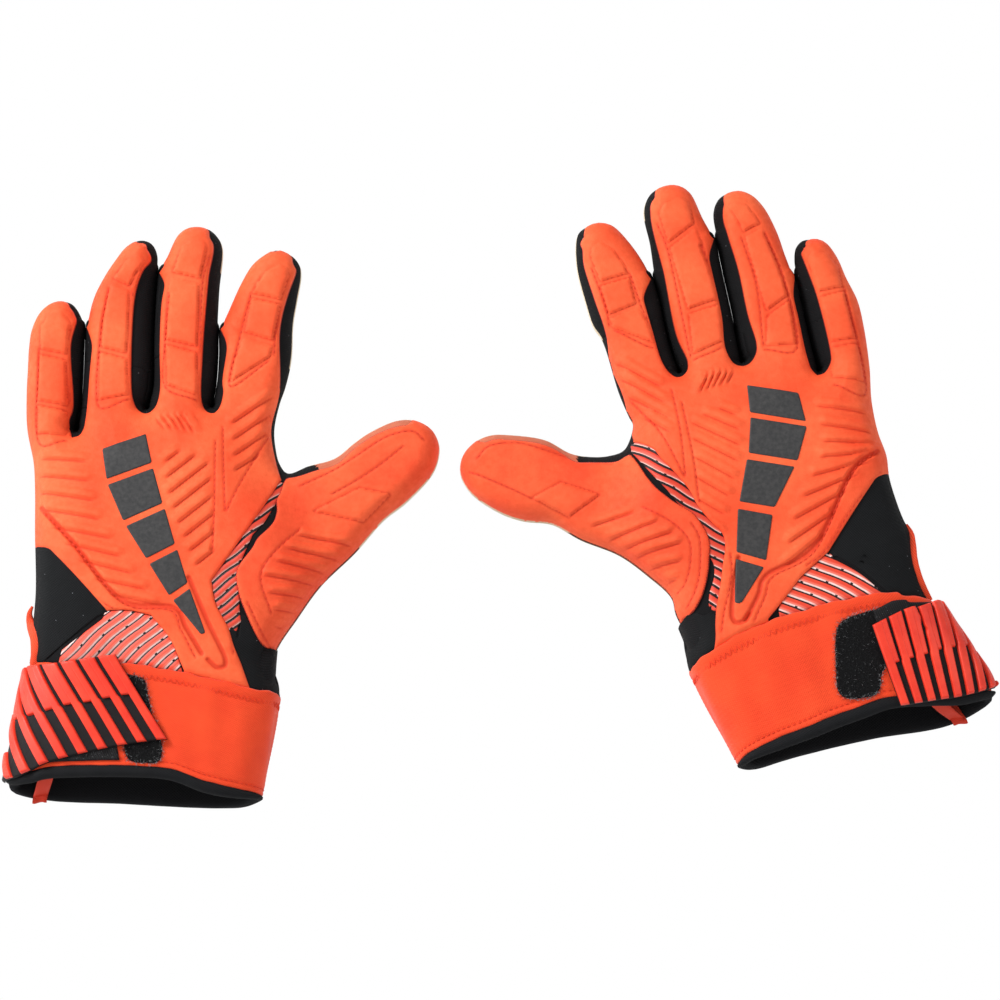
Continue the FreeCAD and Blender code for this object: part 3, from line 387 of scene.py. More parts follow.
# wide lines pressed into the back panel
GROOVES = {
    "left": [
        [(-145.0, -44.7), (-136.0, -65.4), (-127.4, -83.6), (-131.1, -86.9),
         (-135.7, -83.2)],
        [(-214.9, -10.7), (-199.7, -27.3), (-176.0, -55.1), (-152.1, -58.8),
         (-146.1, -68.2), (-138.6, -80.4)]],
    "right": [
        [(110.5, -35.3), (108.0, -48.8), (107.2, -63.7), (111.6, -65.7), (115.0, -61.8)],
        [(176.6, 16.4), (163.6, 5.4), (145.8, -29.9), (123.7, -43.4), (119.4, -53.0),
         (113.6, -64.6)]],
}
# cuff edges from the little-finger side to the thumb side: the band's top edge and the mouth,
# each over the back of the wrist and under the palm side
CUFF_EDGES = {
    "left": {
        "top_back": [(-218.8, -82.6), (-204.3, -85.0), (-171.4, -86.0), (-144.0, -90.6),
                     (-116.2, -96.7), (-103.2, -98.1)],
        "top_palm": [(-218.8, -82.6), (-193.6, -82.4), (-118.1, -93.8), (-103.2, -98.1)],
        "mouth_back": [(-229.4, -136.5), (-217.4, -134.6), (-203.4, -132.5),
                       (-157.3, -133.4), (-135.1, -139.9), (-111.1, -144.5)],
        "mouth_palm": [(-229.4, -136.5), (-227.1, -141.1), (-208.9, -144.1),
                       (-178.5, -145.2), (-146.1, -147.1), (-122.2, -147.6),
                       (-111.1, -144.5)],
    },
    "right": {
        "top_back": [(202.0, -53.3), (187.6, -53.2), (182.1, -51.8), (152.7, -57.4),
                     (120.1, -67.7), (98.2, -79.0), (88.3, -86.3)],
        "top_palm": [(202.0, -53.3), (183.5, -62.0), (103.1, -82.4), (88.3, -86.3)],
        "mouth_back": [(229.7, -95.3), (212.5, -98.2), (195, -99.3), (178.0, -101.0),
                       (165.9, -105.2), (154.3, -109.3), (141.9, -114.3), (129.0, -119.1),
                       (118.7, -123.6), (112.9, -127.0), (110.3, -129.5)],
        "mouth_palm": [(229.7, -95.3), (227.5, -100.1), (207.7, -109.4), (173.7, -115.1),
                       (140.3, -123.1), (119.1, -129.7), (110.3, -129.5)],
    },
}
# binding strip on the little-finger edge: centre line, then widths at even stations
BINDING = {
    "left": ([(-220.0, -54.8), (-221.3, -58.2), (-220.7, -62.6), (-218.4, -67.8),
              (-216.8, -72.1), (-216.5, -78.6), (-217.4, -86.5)],
             [1.2, 3.8, 4.9, 5.3, 5.2, 4.6, 4.4]),
    "right": ([(190.4, -17.0), (192.0, -21.4), (192.4, -27.8), (192.8, -35.1),
               (194.7, -42.2), (197.0, -47.7), (200.1, -53.5)],
              [1.4, 3.4, 3.9, 4.0, 3.9, 3.8, 3.6]),
}
# creases across the palm side
PALM_CREASES = {
    "left": [
        [(-214, 8), (-196, 0), (-172, 2), (-150, 12), (-136, 24)],
        [(-206, -30), (-184, -16), (-160, -10), (-134, -4)],
        [(-136, 18), (-146, -6), (-150, -34), (-146, -60), (-138, -76)]],
    "right": [
        [(170, 40), (152, 28), (128, 26), (106, 34), (90, 44)],
        [(168, -2), (148, 8), (124, 10), (98, 14)],
        [(88, 34), (102, 12), (112, -14), (114, -38), (110, -56)]],
}
# a point on the knuckle line and the tilt of that line
KNUCKLES = {"left": (np.array([-166.5, 45.4]), 0.0),
            "right": (np.array([115.5, 67.4]), math.radians(10.0))}

# ------------------------------------------------------------------ digits, from the CAD joints
JOINTS = {joint["name"]: joint for joint in frame["record"]["behaviour"]["joints"]}


def read_digit(glove, name):
    """Root point, directions and the stretches (mm from the root) over which a digit bends."""
    root_joint = JOINTS["%s_%s_root" % (glove, name)]
    middle_joint = JOINTS["%s_%s_middle" % (glove, name)]
    axis = np.array(root_joint["axis"][:2], float)
    along = np.array([axis[1], -axis[0]])
    root = np.array(root_joint["pos_m"]) * 1000
    middle = np.array(middle_joint["pos_m"]) * 1000
    length = float((middle - root)[:2] @ along)
    root_bend = (-9.0, min(12.0, length - 9.5))
    tip_bend = (length - 8.0, length + 13.0)
    return dict(root=root, along=along, axis=axis, length=length, root_bend=root_bend,
                tip_bend=tip_bend, cut=0.5 * (root_bend[1] + tip_bend[0]))


DIGIT = {(glove, name): read_digit(glove, name) for glove in GLOVES for name in DIGITS}


def digit_coords(digit, points):
    """Distance along a digit from its root, and signed distance along its bending axis."""
    offset = points - digit["root"][:2]
    return offset @ digit["along"], offset @ digit["axis"]


def slit_coords(slit, points):
    """Distance down a slit, distance beside it, and the slit's length."""
    start, end = np.array(slit[0]), np.array(slit[1])
    length = np.linalg.norm(end - start)
    axis = (end - start) / length
    offset = points - start
    return offset @ axis, np.abs(offset @ np.array([axis[1], -axis[0]])), length


# ------------------------------------------------------------------ plane curves
def smooth(outline, step=1.5):
    """Closed curve through the points, evenly resampled; points flagged 1 stay sharp."""
    points = [np.array(p[:2], float) for p in outline]
    sharp = [len(p) > 2 and p[2] == 1 for p in outline]
    count = len(points)
    out = []
    for i in range(count):
        p1, p2 = points[i], points[(i + 1) % count]
        p0 = points[i - 1] if not sharp[i] else p1 + (p1 - p2)
        p3 = points[(i + 2) % count] if not sharp[(i + 1) % count] else p2 + (p2 - p1)
        length = np.linalg.norm(p2 - p1)
        steps = max(1, int(round(length / step)))
        before = max(1e-6, np.linalg.norm(p1 - p0)) ** 0.5
        here = max(1e-6, length) ** 0.5
        after = max(1e-6, np.linalg.norm(p3 - p2)) ** 0.5
        tangent1 = p2 - p1 + here * ((p1 - p0) / before - (p2 - p0) / (before + here))
        tangent2 = p2 - p1 + here * ((p3 - p2) / after - (p3 - p1) / (here + after))
        for j in range(steps):
            t = j / steps
            out.append((2 * t**3 - 3 * t**2 + 1) * p1 + (t**3 - 2 * t**2 + t) * tangent1
                       + (-2 * t**3 + 3 * t**2) * p2 + (t**3 - t**2) * tangent2)
    return np.array(out)


def catmull(points, span_steps, mirror_ends=True):
    """Open curve through points; span_steps gives the samples for a span's length."""
    points = np.array(points, float)
    out = []
    for i in range(len(points) - 1):
        p1, p2 = points[i], points[i + 1]
        p0 = points[i - 1] if i else (p1 + (p1 - p2) if mirror_ends else p1)
        if i + 2 < len(points):
            p3 = points[i + 2]
        else:
            p3 = p2 + (p2 - p1) if mirror_ends else p2
        steps = span_steps(np.linalg.norm(p2 - p1))
        for j in range(steps):
            t = j / steps
            out.append(0.5 * (2 * p1 + (p2 - p0) * t + (2 * p0 - 5 * p1 + 4 * p2 - p3) * t * t
                              + (-p0 + 3 * p1 - 3 * p2 + p3) * t**3))
    out.append(points[-1])
    return np.array(out)


def open_curve(points, step=1.0):
    return catmull(points, lambda length: max(1, int(round(length / step))))


class Line:
    """Distance to a closed or open polyline, by nearest sample and then exact segments."""

    SAMPLE = 0.8

    def __init__(self, points, closed=True):
        self.points = np.asarray(points, float)
        self.closed = closed
        count = len(self.points)
        self.spans = count if closed else count - 1
        samples, owners = [], []
        for i in range(self.spans):
            start, end = self.points[i], self.points[(i + 1) % count]
            steps = max(1, int(math.ceil(np.linalg.norm(end - start) / self.SAMPLE)))
            for j in range(steps):
                samples.append(start + (end - start) * j / steps)
                owners.append(i)
        if not closed:
            samples.append(self.points[-1])
            owners.append(self.spans - 1)
        self.owners = np.array(owners)
        self.tree = kdtree.KDTree(len(samples))
        for i, sample in enumerate(samples):
            self.tree.insert((sample[0], sample[1], 0.0), i)
        self.tree.balance()

    def near(self, points):
        """Distance to the line and the nearest point on it."""
        points = np.asarray(points, float)
        found = np.array([self.tree.find((p[0], p[1], 0.0))[1] for p in points], int)
        base = self.owners[found]
        best = np.full(len(points), 1e9)
        nearest = np.zeros_like(points)
        for shift in (-1, 0, 1):
            span = base + shift
            span = span % self.spans if self.closed else np.clip(span, 0, self.spans - 1)
            start, end = self.points[span], self.points[(span + 1) % len(self.points)]
            run = end - start
            t = ((points - start) * run).sum(1) / np.maximum((run * run).sum(1), 1e-9)
            foot = start + run * np.clip(t, 0, 1)[:, None]
            dist = np.linalg.norm(points - foot, axis=1)
            closer = dist < best
            best[closer], nearest[closer] = dist[closer], foot[closer]
        return best, nearest

    def dist(self, points):
        return self.near(points)[0]


def inside(points, outline):
    """Even-odd test of points against a closed outline."""
    points = np.asarray(points, float)
    result = np.zeros(len(points), bool)
    count = len(outline)
    for i in range(count):
        (x1, y1), (x2, y2) = outline[i], outline[(i + 1) % count]
        if y1 == y2:
            continue
        spans = (y1 > points[:, 1]) != (y2 > points[:, 1])
        if spans.any():
            result[spans] ^= points[spans, 0] < (x2 - x1) * (points[spans, 1] - y1) / (y2 - y1) + x1
    return result


def outward_normals(outline):
    tangent = np.roll(outline, -1, 0) - np.roll(outline, 1, 0)
    tangent /= np.maximum(np.linalg.norm(tangent, axis=1), 1e-9)[:, None]
    x, y = outline[:, 0], outline[:, 1]
    area = 0.5 * np.sum(x * np.roll(y, -1) - np.roll(x, -1) * y)
    return np.c_[tangent[:, 1], -tangent[:, 0]] * (1 if area > 0 else -1)


def blur(values):
    """Mean of each value and its two neighbours round a closed outline."""
    return (np.roll(values, 1) + values + np.roll(values, -1)) / 3


def round_edge(dist, radius):
    """Quarter-circle rise from 0 at the edge to 1 at the radius."""
    x = np.clip(dist / radius, 0, 1)
    return np.sqrt(np.maximum(0, 1 - (1 - x) ** 2))


def ease(x):
    x = np.clip(x, 0, 1)
    return x * x * (3 - 2 * x)


def close_slits(outline, reach=2.7, left=0.16):
    """Brings the two sides of the narrow slits between neighbouring fingers together."""
    count = len(outline)
    out = outward_normals(outline)
    move = np.zeros(count)
    index = np.arange(count)
    for i in range(count):
        offset = outline - outline[i]
        dist = np.linalg.norm(offset, axis=1)
        gap = np.minimum(np.abs(index - i), count - np.abs(index - i))
        facing = ((offset * out[i]).sum(1) > 0.55 * dist) & ((out * out[i]).sum(1) < -0.3)
        ok = (gap > 5) & (dist < reach) & facing
        if ok.any():
            move[i] = max(0.0, (dist[ok].min() - left) / 2)
    move = np.maximum(move, 0.5 * (np.roll(move, 1) + np.roll(move, -1)) * (move > 0))
    return outline + out * np.where(move > 0, np.minimum(blur(move), move + 0.02), 0)[:, None]


EDGE = {glove: Line(close_slits(smooth(OUTLINE[glove], 1.4))) for glove in GLOVES}
BAND_LINE = {glove: Line(open_curve(CUFF_EDGES[glove]["top_back"], 1.0), False)
             for glove in GLOVES}


def band_normal(glove):
    """Unit vector across the band's top edge, towards the fingers."""
    start, end = (np.array(CUFF_EDGES[glove]["top_back"][i]) for i in (0, -1))
    mouth = np.array(CUFF_EDGES[glove]["mouth_back"][0])
    normal = np.array([-(end - start)[1], (end - start)[0]]) / np.linalg.norm(end - start)
    return -normal if (mouth - start) @ normal > 0 else normal


BAND_NORMAL = {glove: band_normal(glove) for glove in GLOVES}


def under_band(glove, points, lead, run):
    """0 above the band, 1 inside it; starts lead mm before its top edge, over run mm."""
    dist, nearest = BAND_LINE[glove].near(points)
    sign = np.where(((points - nearest) @ BAND_NORMAL[glove]) < 0, 1, -1)
    return ease((dist * sign + lead) / run)


def draw_in(glove, points):
    """Narrows the glove a little where it runs under the band."""
    start, end = (np.array(CUFF_EDGES[glove]["top_back"][i]) for i in (0, -1))
    axis = (end - start) / np.linalg.norm(end - start)
    across = (points - (start + end) / 2) @ axis
    return points - axis * (across * 0.045 * under_band(glove, points, 0.5, 4.0))[:, None]


# ------------------------------------------------------------------ fabric body
# extra height of the back of the hand against distance past the knuckle line
CROWN_S = np.array([-300, -75, -50, -30, -14, -2, 10, 22, 300.0])
CROWN_Z = np.array([11.6, 11.6, 10.6, 8.4, 4.9, 2.2, 0.7, 0, 0])


def crown(glove, points):
    knuckle, tilt = KNUCKLES[glove]
    past = (points - knuckle) @ np.array([-math.sin(tilt), math.cos(tilt)])
    base = np.interp(past, CROWN_S, CROWN_Z)
    for shift in (-4.0, -2.0, 2.0, 4.0):
        base = base + np.interp(past + shift, CROWN_S, CROWN_Z)
    base = base / 5.0
    along, _ = digit_coords(DIGIT[glove, "thumb"], points)
    return base * (1 - ease((along + 34.0) / 30.0))


def hull(glove, points, dist=None):
    """Heights of the body's top and bottom; dist is the distance to the glove's outline."""
    points = np.asarray(points, float)
    if dist is None:
        dist = EDGE[glove].dist(points)
    top = MID_Z + 11.6 * round_edge(dist, 9.5) + 1.2 * round_edge(dist, 13.0)
    top = top + crown(glove, points) * round_edge(dist, 30.0) ** 1.3
    bottom = MID_Z - 10.9 * round_edge(dist, 8.5)
    top_squeeze = 0.13 * under_band(glove, points, 1.0, 3.5)
    bottom_squeeze = 0.12 * under_band(glove, points, 0.2, 5.0)
    return (MID_Z + (top - MID_Z) * (1 - top_squeeze),
            MID_Z + (bottom - MID_Z) * (1 - bottom_squeeze))


def region(glove, points):
    """0 hand, then 1 + 2*digit for the root part and 2 + 2*digit for the tip part."""
    points = np.asarray(points, float)
    result = np.zeros(len(points), int)
    nearest = np.full(len(points), 1e9)
    for k, name in enumerate(DIGITS):
        digit = DIGIT[glove, name]
        along, across = digit_coords(digit, points)
        across = np.abs(across)
        reach = 26.0 if name == "thumb" else 21.0
        ok = (along > digit["root_bend"][0]) & (across < reach) & (across < nearest)
        nearest[ok] = across[ok]
        result[ok] = np.where(along[ok] > digit["cut"], 2 + 2 * k, 1 + 2 * k)
    return result


def back_weight(glove, points, dist, nearest):
    """How far the back foam wraps over the glove's edge: fully at the fingertips and on the
    little-finger sides, not on the thumb sides nor down in the gaps between fingers."""
    side = SIDE[glove]
    knuckle, tilt = KNUCKLES[glove]
    to_thumb = np.array([math.cos(tilt), math.sin(tilt)]) * side
    weight = ((points - knuckle) @ to_thumb < 0).astype(float)
    weight = weight * np.clip((7.5 - dist) / 1.5, 0, 1)
    gap = nearest - points
    facing = gap / np.maximum(np.linalg.norm(gap, axis=1), 1e-6)[:, None]
    best = np.full(len(points), 1e9)
    for name in DIGITS[:4]:
        digit = DIGIT[glove, name]
        thumbward = -side * digit["axis"]
        along, across = digit_coords(digit, points)
        across = np.abs(across)
        here = (along > -4) & (across < 17.5) & (across < best)
        angle = np.degrees(np.arctan2(facing @ thumbward, facing @ digit["along"]))
        value = np.clip((48.0 - angle) / 22.0, 0, 1) * np.clip((13.0 - dist) / 3.0, 0, 1)
        value[(angle < -150) & (along > 20)] = 1
        weight[here] = value[here]
        best[here] = across[here]
    for slit in SLITS[glove]:
        along, beside, length = slit_coords(slit, nearest)
        here = (along > -1.5) & (beside < 6.5) & (along < length + 9)
        weight[here] = np.minimum(weight[here], 1 - ease((along[here] + 1.0) / 15.0))
    return blur(blur(weight))


def thumb_weight(glove, points, dist, nearest):
    return np.clip((6.0 - dist) / 1.5, 0, 1)


def snap_out(outline, glove, weight, hold=None, leave=0.12):
    """Moves a panel outline towards the glove's outline; points where hold is true stay."""
    dist, nearest = EDGE[glove].near(outline)
    within = inside(outline, EDGE[glove].points)
    amount = weight(glove, outline, dist, nearest)
    amount[~within] = 1
    if hold is not None:
        amount[hold(outline)] = 0
    gap = nearest - outline
    length = np.maximum(np.linalg.norm(gap, axis=1), 1e-6)
    step = np.where(within, np.maximum(0, dist - leave), dist + leave)
    return outline + gap / length[:, None] * (step * amount)[:, None]


def tuck(outline, neighbours, reach=2.4, push=2.0):
    """Runs the edge of a thin panel on under the thicker panels beside it."""
    amount = np.zeros(len(outline))
    for other in neighbours:
        amount = np.maximum(amount, np.clip((reach + 0.8 - Line(other).dist(outline)) / 0.8, 0, 1))
    return outline + outward_normals(outline) * (blur(amount) * push)[:, None]


def under_band_edge(glove, outline, reach=4.0, push=6.0):
    """Moves the points that lie on the band's top edge down under the band."""
    dist = BAND_LINE[glove].dist(np.array([p[:2] for p in outline]))
    out = []
    for point, gap in zip(outline, dist):
        x, y = np.array(point[:2]) - (BAND_NORMAL[glove] * push if gap < reach else 0)
        out.append((x, y) + tuple(point[2:]))
    return out


# ------------------------------------------------------------------ mesh objects
MATERIALS = {}
COLLECTION = bpy.data.collections.new("gloves")
bpy.context.scene.collection.children.link(COLLECTION)
PIECES = {}     # (glove, region): [(object, kind)]; at the end the hand's pieces ride on the hand and the digits' have their transform baked


def add_attribute(mesh, name, values):
    attribute = mesh.attributes.new(name, "FLOAT", "POINT")
    attribute.data.foreach_set("value", np.asarray(values, np.float32))


def make(name, verts, faces, materials, face_material=None, rest=None, extra=None,
         loop_normals=None):
    """Smooth mesh object from millimetre arrays; extra holds further point attributes."""
    mesh = bpy.data.meshes.new(name)
    faces = [tuple(int(i) for i in face) for face in faces]
    mesh.from_pydata((np.asarray(verts) / 1000.0).tolist(), [], faces)
    for material in materials:
        mesh.materials.append(MATERIALS[material])
    if face_material is not None:
        mesh.polygons.foreach_set("material_index", np.asarray(face_material, np.int32))
    mesh.polygons.foreach_set("use_smooth", np.ones(len(mesh.polygons), bool))
    attribute = mesh.attributes.new("rest", "FLOAT_VECTOR", "POINT")
    rest = verts if rest is None else rest
    attribute.data.foreach_set("vector", np.asarray(rest, np.float32).ravel())
    for key, values in (extra or {}).items():
        add_attribute(mesh, key, values)
    mesh.validate()
    mesh.update()
    # validate may drop a bad face, and the normals would then no longer match
    if loop_normals is not None and len(mesh.loops) == len(loop_normals):
        mesh.normals_split_custom_set([tuple(float(c) for c in n) for n in loop_normals])
    ob = bpy.data.objects.new(name, mesh)
    COLLECTION.objects.link(ob)
    return ob


def place(ob, part, slot, *replaced):
    """Rides on one part and stands in for CAD pieces; slot is not used."""
    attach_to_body(ob, part)
    if replaced:
        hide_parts(*replaced)


def vertex_normals(verts, faces):
    normals = np.zeros_like(verts)
    corner = verts[faces[:, 0]]
    face_normals = np.cross(verts[faces[:, 1]] - corner, verts[faces[:, 2]] - corner)
    for k in range(3):
        np.add.at(normals, faces[:, k], face_normals)
    return normals / np.maximum(np.linalg.norm(normals, axis=1), 1e-12)[:, None]


def shell_faces(faces, count, edges):
    """Outer triangles, inner triangles count vertices on, and a rim of quads between them.
    edges lists every triangle's directed edges. Returns the faces and the rim's length."""
    known = set(edges)
    rim = [(a, b) for a, b in edges if (b, a) not in known]
    outer = [tuple(face) for face in faces]
    inner = [(c + count, b + count, a + count) for a, b, c in faces]
    return outer + inner + [(b, a, a + count, b + count) for a, b in rim], len(rim)


def shell_piece(name, verts, faces, normals, thick, materials, face_material, cav,
                inner_material=None):
    """Closed shell: outer sheet, inner sheet pushed in by thick, and a rim."""
    used, faces = np.unique(faces, return_inverse=True)
    faces = faces.reshape(-1, 3)
    outer, normal = verts[used], normals[used]
    edges = np.vstack([faces[:, [0, 1]], faces[:, [1, 2]], faces[:, [2, 0]]])
    edges = [tuple(edge) for edge in edges.tolist()]
    all_faces, rim_count = shell_faces(faces, len(outer), edges)
    outer_index = list(face_material)
    inner_index = outer_index if inner_material is None else [inner_material] * len(faces)
    index = outer_index + inner_index + [int(outer_index[0])] * rim_count
    loop_normals = [normal[i] for face in faces for i in face]
    loop_normals += [-normal[i] for face in faces for i in face[::-1]]
    loop_normals += [(0.0, 0.0, 0.0)] * (4 * rim_count)
    return make(name, np.vstack([outer, outer - normal * thick]), all_faces, materials, index,
                np.vstack([outer, outer]), {"cav": np.concatenate([cav[used], cav[used]])},
                loop_normals)


def piece_name(glove, reg, kind):
    if reg == 0:
        return "%s_hand_%s" % (glove, kind)
    return "%s_%s_%s_%s" % (glove, DIGITS[(reg - 1) // 2], "root" if reg % 2 else "tip", kind)


def emit(glove, kind, verts, faces, thick, materials, face_material, cav,
         inner_material=None):
    """Splits a sheet by region and closes each part. Returns the objects."""
    normals = vertex_normals(verts, faces)
    regions = region(glove, verts[faces].mean(1)[:, :2])
    objects = []
    for reg in np.unique(regions):
        chosen = np.nonzero(regions == reg)[0]
        if len(chosen) < 3:
            continue
        ob = shell_piece(piece_name(glove, reg, kind), verts, faces[chosen], normals, thick,
                         materials, face_material[chosen], cav, inner_material)
        PIECES.setdefault((glove, int(reg)), []).append((ob, kind))
        objects.append(ob)
    return objects


# ------------------------------------------------------------------ triangulated sheets
def triangulate(line, ring_dists, ring_gap, grid, grid_inset):
    """Fills a closed line with rings near its edge and a triangular grid further in.
    Returns the points, the triangles and a mask of the boundary points."""
    outline = line.points
    ring = thin(rings(line, ring_dists), ring_gap)
    inner = hexgrid(outline.min(0), outline.max(0), grid)
    inner = inner[inside(inner, outline)]
    inner = inner[line.dist(inner) > grid_inset]
    points = np.vstack([outline, ring, inner])
    count = len(outline)
    edges = [(i, (i + 1) % count) for i in range(count)]
    points = [Vector((float(p[0]), float(p[1]))) for p in points]
    verts, _, faces, origins, _, _ = delaunay_2d_cdt(points, edges, [], 1, 1e-5)
    verts = np.array([(p[0], p[1]) for p in verts])
    faces = np.array([face for face in faces if len(face) == 3], int)
    a, b, c = (verts[faces[:, k]] for k in range(3))
    turn = (b[:, 0] - a[:, 0]) * (c[:, 1] - a[:, 1]) - (b[:, 1] - a[:, 1]) * (c[:, 0] - a[:, 0])
    faces[turn < 0] = faces[turn < 0][:, ::-1]
    faces = faces[np.abs(turn) > 1e-7]
    boundary = np.array([any(k < count for k in origin) for origin in origins], bool)
    return verts, faces, boundary


def hexgrid(low, high, pitch):
    rows = []
    for k, y in enumerate(np.arange(low[1], high[1], pitch * 0.8660254)):
        xs = np.arange(low[0] + (pitch / 2 if k % 2 else 0), high[0], pitch)
        rows.append(np.c_[xs, np.full(len(xs), y)])
    return np.vstack(rows)


def rings(line, dists):
    """Points set in from a closed line at the given distances."""
    outline = line.points
    normals = outward_normals(outline)
    out = []
    for k, dist in enumerate(dists):
        ring = outline - normals * dist
        if k % 2 and dist < 1.5:
            ring = ring[1:]
        out.append(ring[(line.dist(ring) > dist * 0.93) & inside(ring, outline)])
    return np.vstack(out)


def thin(points, gap):
    """Drops points closer than gap to an earlier one."""
    cells = {}
    keep = []
    for i, point in enumerate(points):
        cell = (int(point[0] // gap), int(point[1] // gap))
        around = [other for a in (-1, 0, 1) for b in (-1, 0, 1)
                  for other in cells.get((cell[0] + a, cell[1] + b), ())]
        if all((q[0] - point[0]) ** 2 + (q[1] - point[1]) ** 2 >= gap * gap for q in around):
            cells.setdefault(cell, []).append(point)
            keep.append(i)
    return points[keep]


BODY_MATERIALS = ["black_textile", "cream_latex", "lining", "thumb_wrap"]
TEXTILE, LATEX, LINING, WRAP = range(4)
BODY_PAST_BAND = 11.0       # how far the body runs on under the band


def crease_depth(glove, points, dist):
    """Creases of the palm side at every knuckle and along the palm lines."""
    depth = np.zeros(len(points))
    for name in DIGITS:
        digit = DIGIT[glove, name]
        along, across = digit_coords(digit, points)
        fade = np.exp(-(np.clip(np.abs(across) - 11, 0, 50) / 3.0) ** 2)
        # (place along the digit, depth)
        for centre, deep in ((-7.0, 0.75), (digit["length"], 0.8),
                             (digit["length"] + 17.0, 0.45)):
            depth += deep * fade * np.exp(-((along - centre) / 1.6) ** 2)
    for crease in PALM_CREASES[glove]:
        away = Line(open_curve(crease, 1.5), False).dist(points)
        depth += 0.9 * np.exp(-(away / 1.8) ** 2)
    return depth * round_edge(dist, 8.5)


def body_face_materials(glove, centres, dist):
    """Material numbers of the top and bottom triangles."""
    regions = region(glove, centres)
    top = np.full(len(centres), TEXTILE)
    finger_tip = (regions > 0) & (regions < 9) & (regions % 2 == 0)
    top[finger_tip & (dist < 0.22)] = LATEX
    along, across = digit_coords(DIGIT[glove, "thumb"], centres)
    top[(regions >= 9) & (across * SIDE[glove] > 2) & (along > 9.0)] = WRAP
    top[(regions >= 9) & (dist < 0.75) & (along > 6)] = LATEX
    # the walls in the gaps between fingers are black textile down to the palm
    in_slit = np.zeros(len(centres), bool)
    for slit in SLITS[glove]:
        along, beside, length = slit_coords(slit, centres)
        wall = np.where(along > -15, 2.8, np.where(along > -21, 1.6, 0.75))
        in_slit |= ((along > -26) & (along < length + 4)
                    & (beside < 7.5 + np.clip(-along, 0, 30) * 0.5) & (dist < wall))
    top[in_slit & (top == LATEX)] = TEXTILE
    bottom = np.where(in_slit, TEXTILE, LATEX)
    return np.concatenate([top, bottom])


def build_body(glove):
    """Fabric and latex body: a top and a bottom sheet that share their boundary."""
    points, faces, boundary = triangulate(EDGE[glove], [0.22, 0.75, 1.6, 2.8, 4.4], 0.42,
                                          1.8, 5.6)
    band_start = np.array(CUFF_EDGES[glove]["top_back"][0])
    centres = points[faces].mean(1)
    faces = faces[(centres - band_start) @ BAND_NORMAL[glove] > -BODY_PAST_BAND]
    used, faces = np.unique(faces, return_inverse=True)
    faces = faces.reshape(-1, 3)
    points, boundary = points[used], boundary[used]
    dist = EDGE[glove].dist(points)
    top, bottom = hull(glove, points, dist)
    top = np.where(boundary, MID_Z, top)
    in_band = under_band(glove, points, 0.5, 4.0)
    points = draw_in(glove, points)
    bottom = bottom + crease_depth(glove, points, dist)
    free = ~boundary
    count = len(points)
    low = np.arange(count)
    low[free] = count + np.arange(free.sum())
    verts = np.zeros((count + free.sum(), 3))
    verts[:count, :2], verts[:count, 2] = points, top
    verts[low[free], :2], verts[low[free], 2] = points[free], bottom[free]
    cav = np.zeros(len(verts))
    # the crease depth goes into cav, from which the latex material paints shade in the creases
    pressed = bottom[free] - hull(glove, points[free], dist[free])[1]
    cav[low[free]] = -np.clip(pressed, 0, 1.2) * (in_band[free] < 0.1)
    index = body_face_materials(glove, points[faces].mean(1), dist[faces].mean(1))
    emit(glove, "shell", verts, np.vstack([faces, low[faces[:, ::-1]]]), 1.4, BODY_MATERIALS,
         index, cav, inner_material=LINING)


# ------------------------------------------------------------------ panels on the back
def in_box(points, outline, pad):
    """Indices of the points within pad of an outline's bounding box."""
    low, high = outline.min(0) - pad, outline.max(0) + pad
    return np.nonzero(((points > low) & (points < high)).all(1))[0]


def emboss_block(height, points, block):
    outline = smooth([(p[0], p[1], 1) for p in block], 1.2)
    index = in_box(points, outline, 2)
    near = points[index]
    dist = Line(outline).dist(near)
    within = inside(near, outline)
    # blocks of more than four corners run out towards their fingertip end
    fade = np.ones(len(index))
    if len(block) > 4:
        fade = np.clip((outline[:, 1].max() + 1.0 - near[:, 1]) / 9.0, 0, 1)
    rise = (0.55 * round_edge(dist, 1.3) + 0.45 * round_edge(dist, 8.0)) * (0.35 + 0.65 * fade)
    raised = index[within]
    height[raised] = np.maximum(height[raised], rise[within])
    edge = (~within) & (dist < 1.2)
    ditch = -0.55 * (1 - dist[edge] / 1.2) ** 0.7 * (0.08 + 0.92 * fade[edge])
    height[index[edge]] = np.minimum(height[index[edge]], ditch)


def emboss_rib(height, points, rib, width, rise):
    """A rib, steep with a ditch on its lower side in y and soft on the other."""
    curve = open_curve(rib, 1.5)
    index = in_box(points, curve, width + 1.3)
    near = points[index]
    dist, nearest = Line(curve, False).near(near)
    run = curve[-1] - curve[0]
    length = np.linalg.norm(run)
    steep_side = np.array([run[1], -run[0]]) / max(length, 1e-9)
    steep_side = steep_side if steep_side[1] < 0 else -steep_side
    steep = ((((near - nearest) @ steep_side) / np.maximum(dist, 1e-6)) + 1) / 2
    across = dist / width
    sharp = 1 - ease((across - 0.58) / 0.42)
    soft = np.cos(np.clip(across / 1.15, 0, 1) * math.pi / 2) ** 1.3
    along = (near - curve[0]) @ (run / max(length, 1e-9))
    end = ease((np.minimum(along, length - along) + 1.6) / 3.6)
    value = rise * (steep * sharp + (1 - steep) * soft) * (0.25 + 0.75 * end)
    height[index] = np.maximum(height[index], np.where(value > 0.02, value, height[index]))
    start = width * 0.97
    edge = (dist > start) & (dist < width + 1.2)
    ditch = np.sin(np.clip((dist[edge] - start) / (width * 0.03 + 1.2), 0, 1) * math.pi)
    ditch = -0.6 * steep[edge] * end[edge] * ditch
    height[index[edge]] = np.minimum(height[index[edge]], ditch)


def press_line(height, points, path, width, depth):
    curve = open_curve(path, 1.5)
    index = in_box(points, curve, width)
    dist = Line(curve, False).dist(points[index])
    index, dist = index[dist < width], dist[dist < width]
    channel = depth * np.cos(dist / width * math.pi / 2) ** 2
    height[index] = np.minimum(height[index], 0) - channel
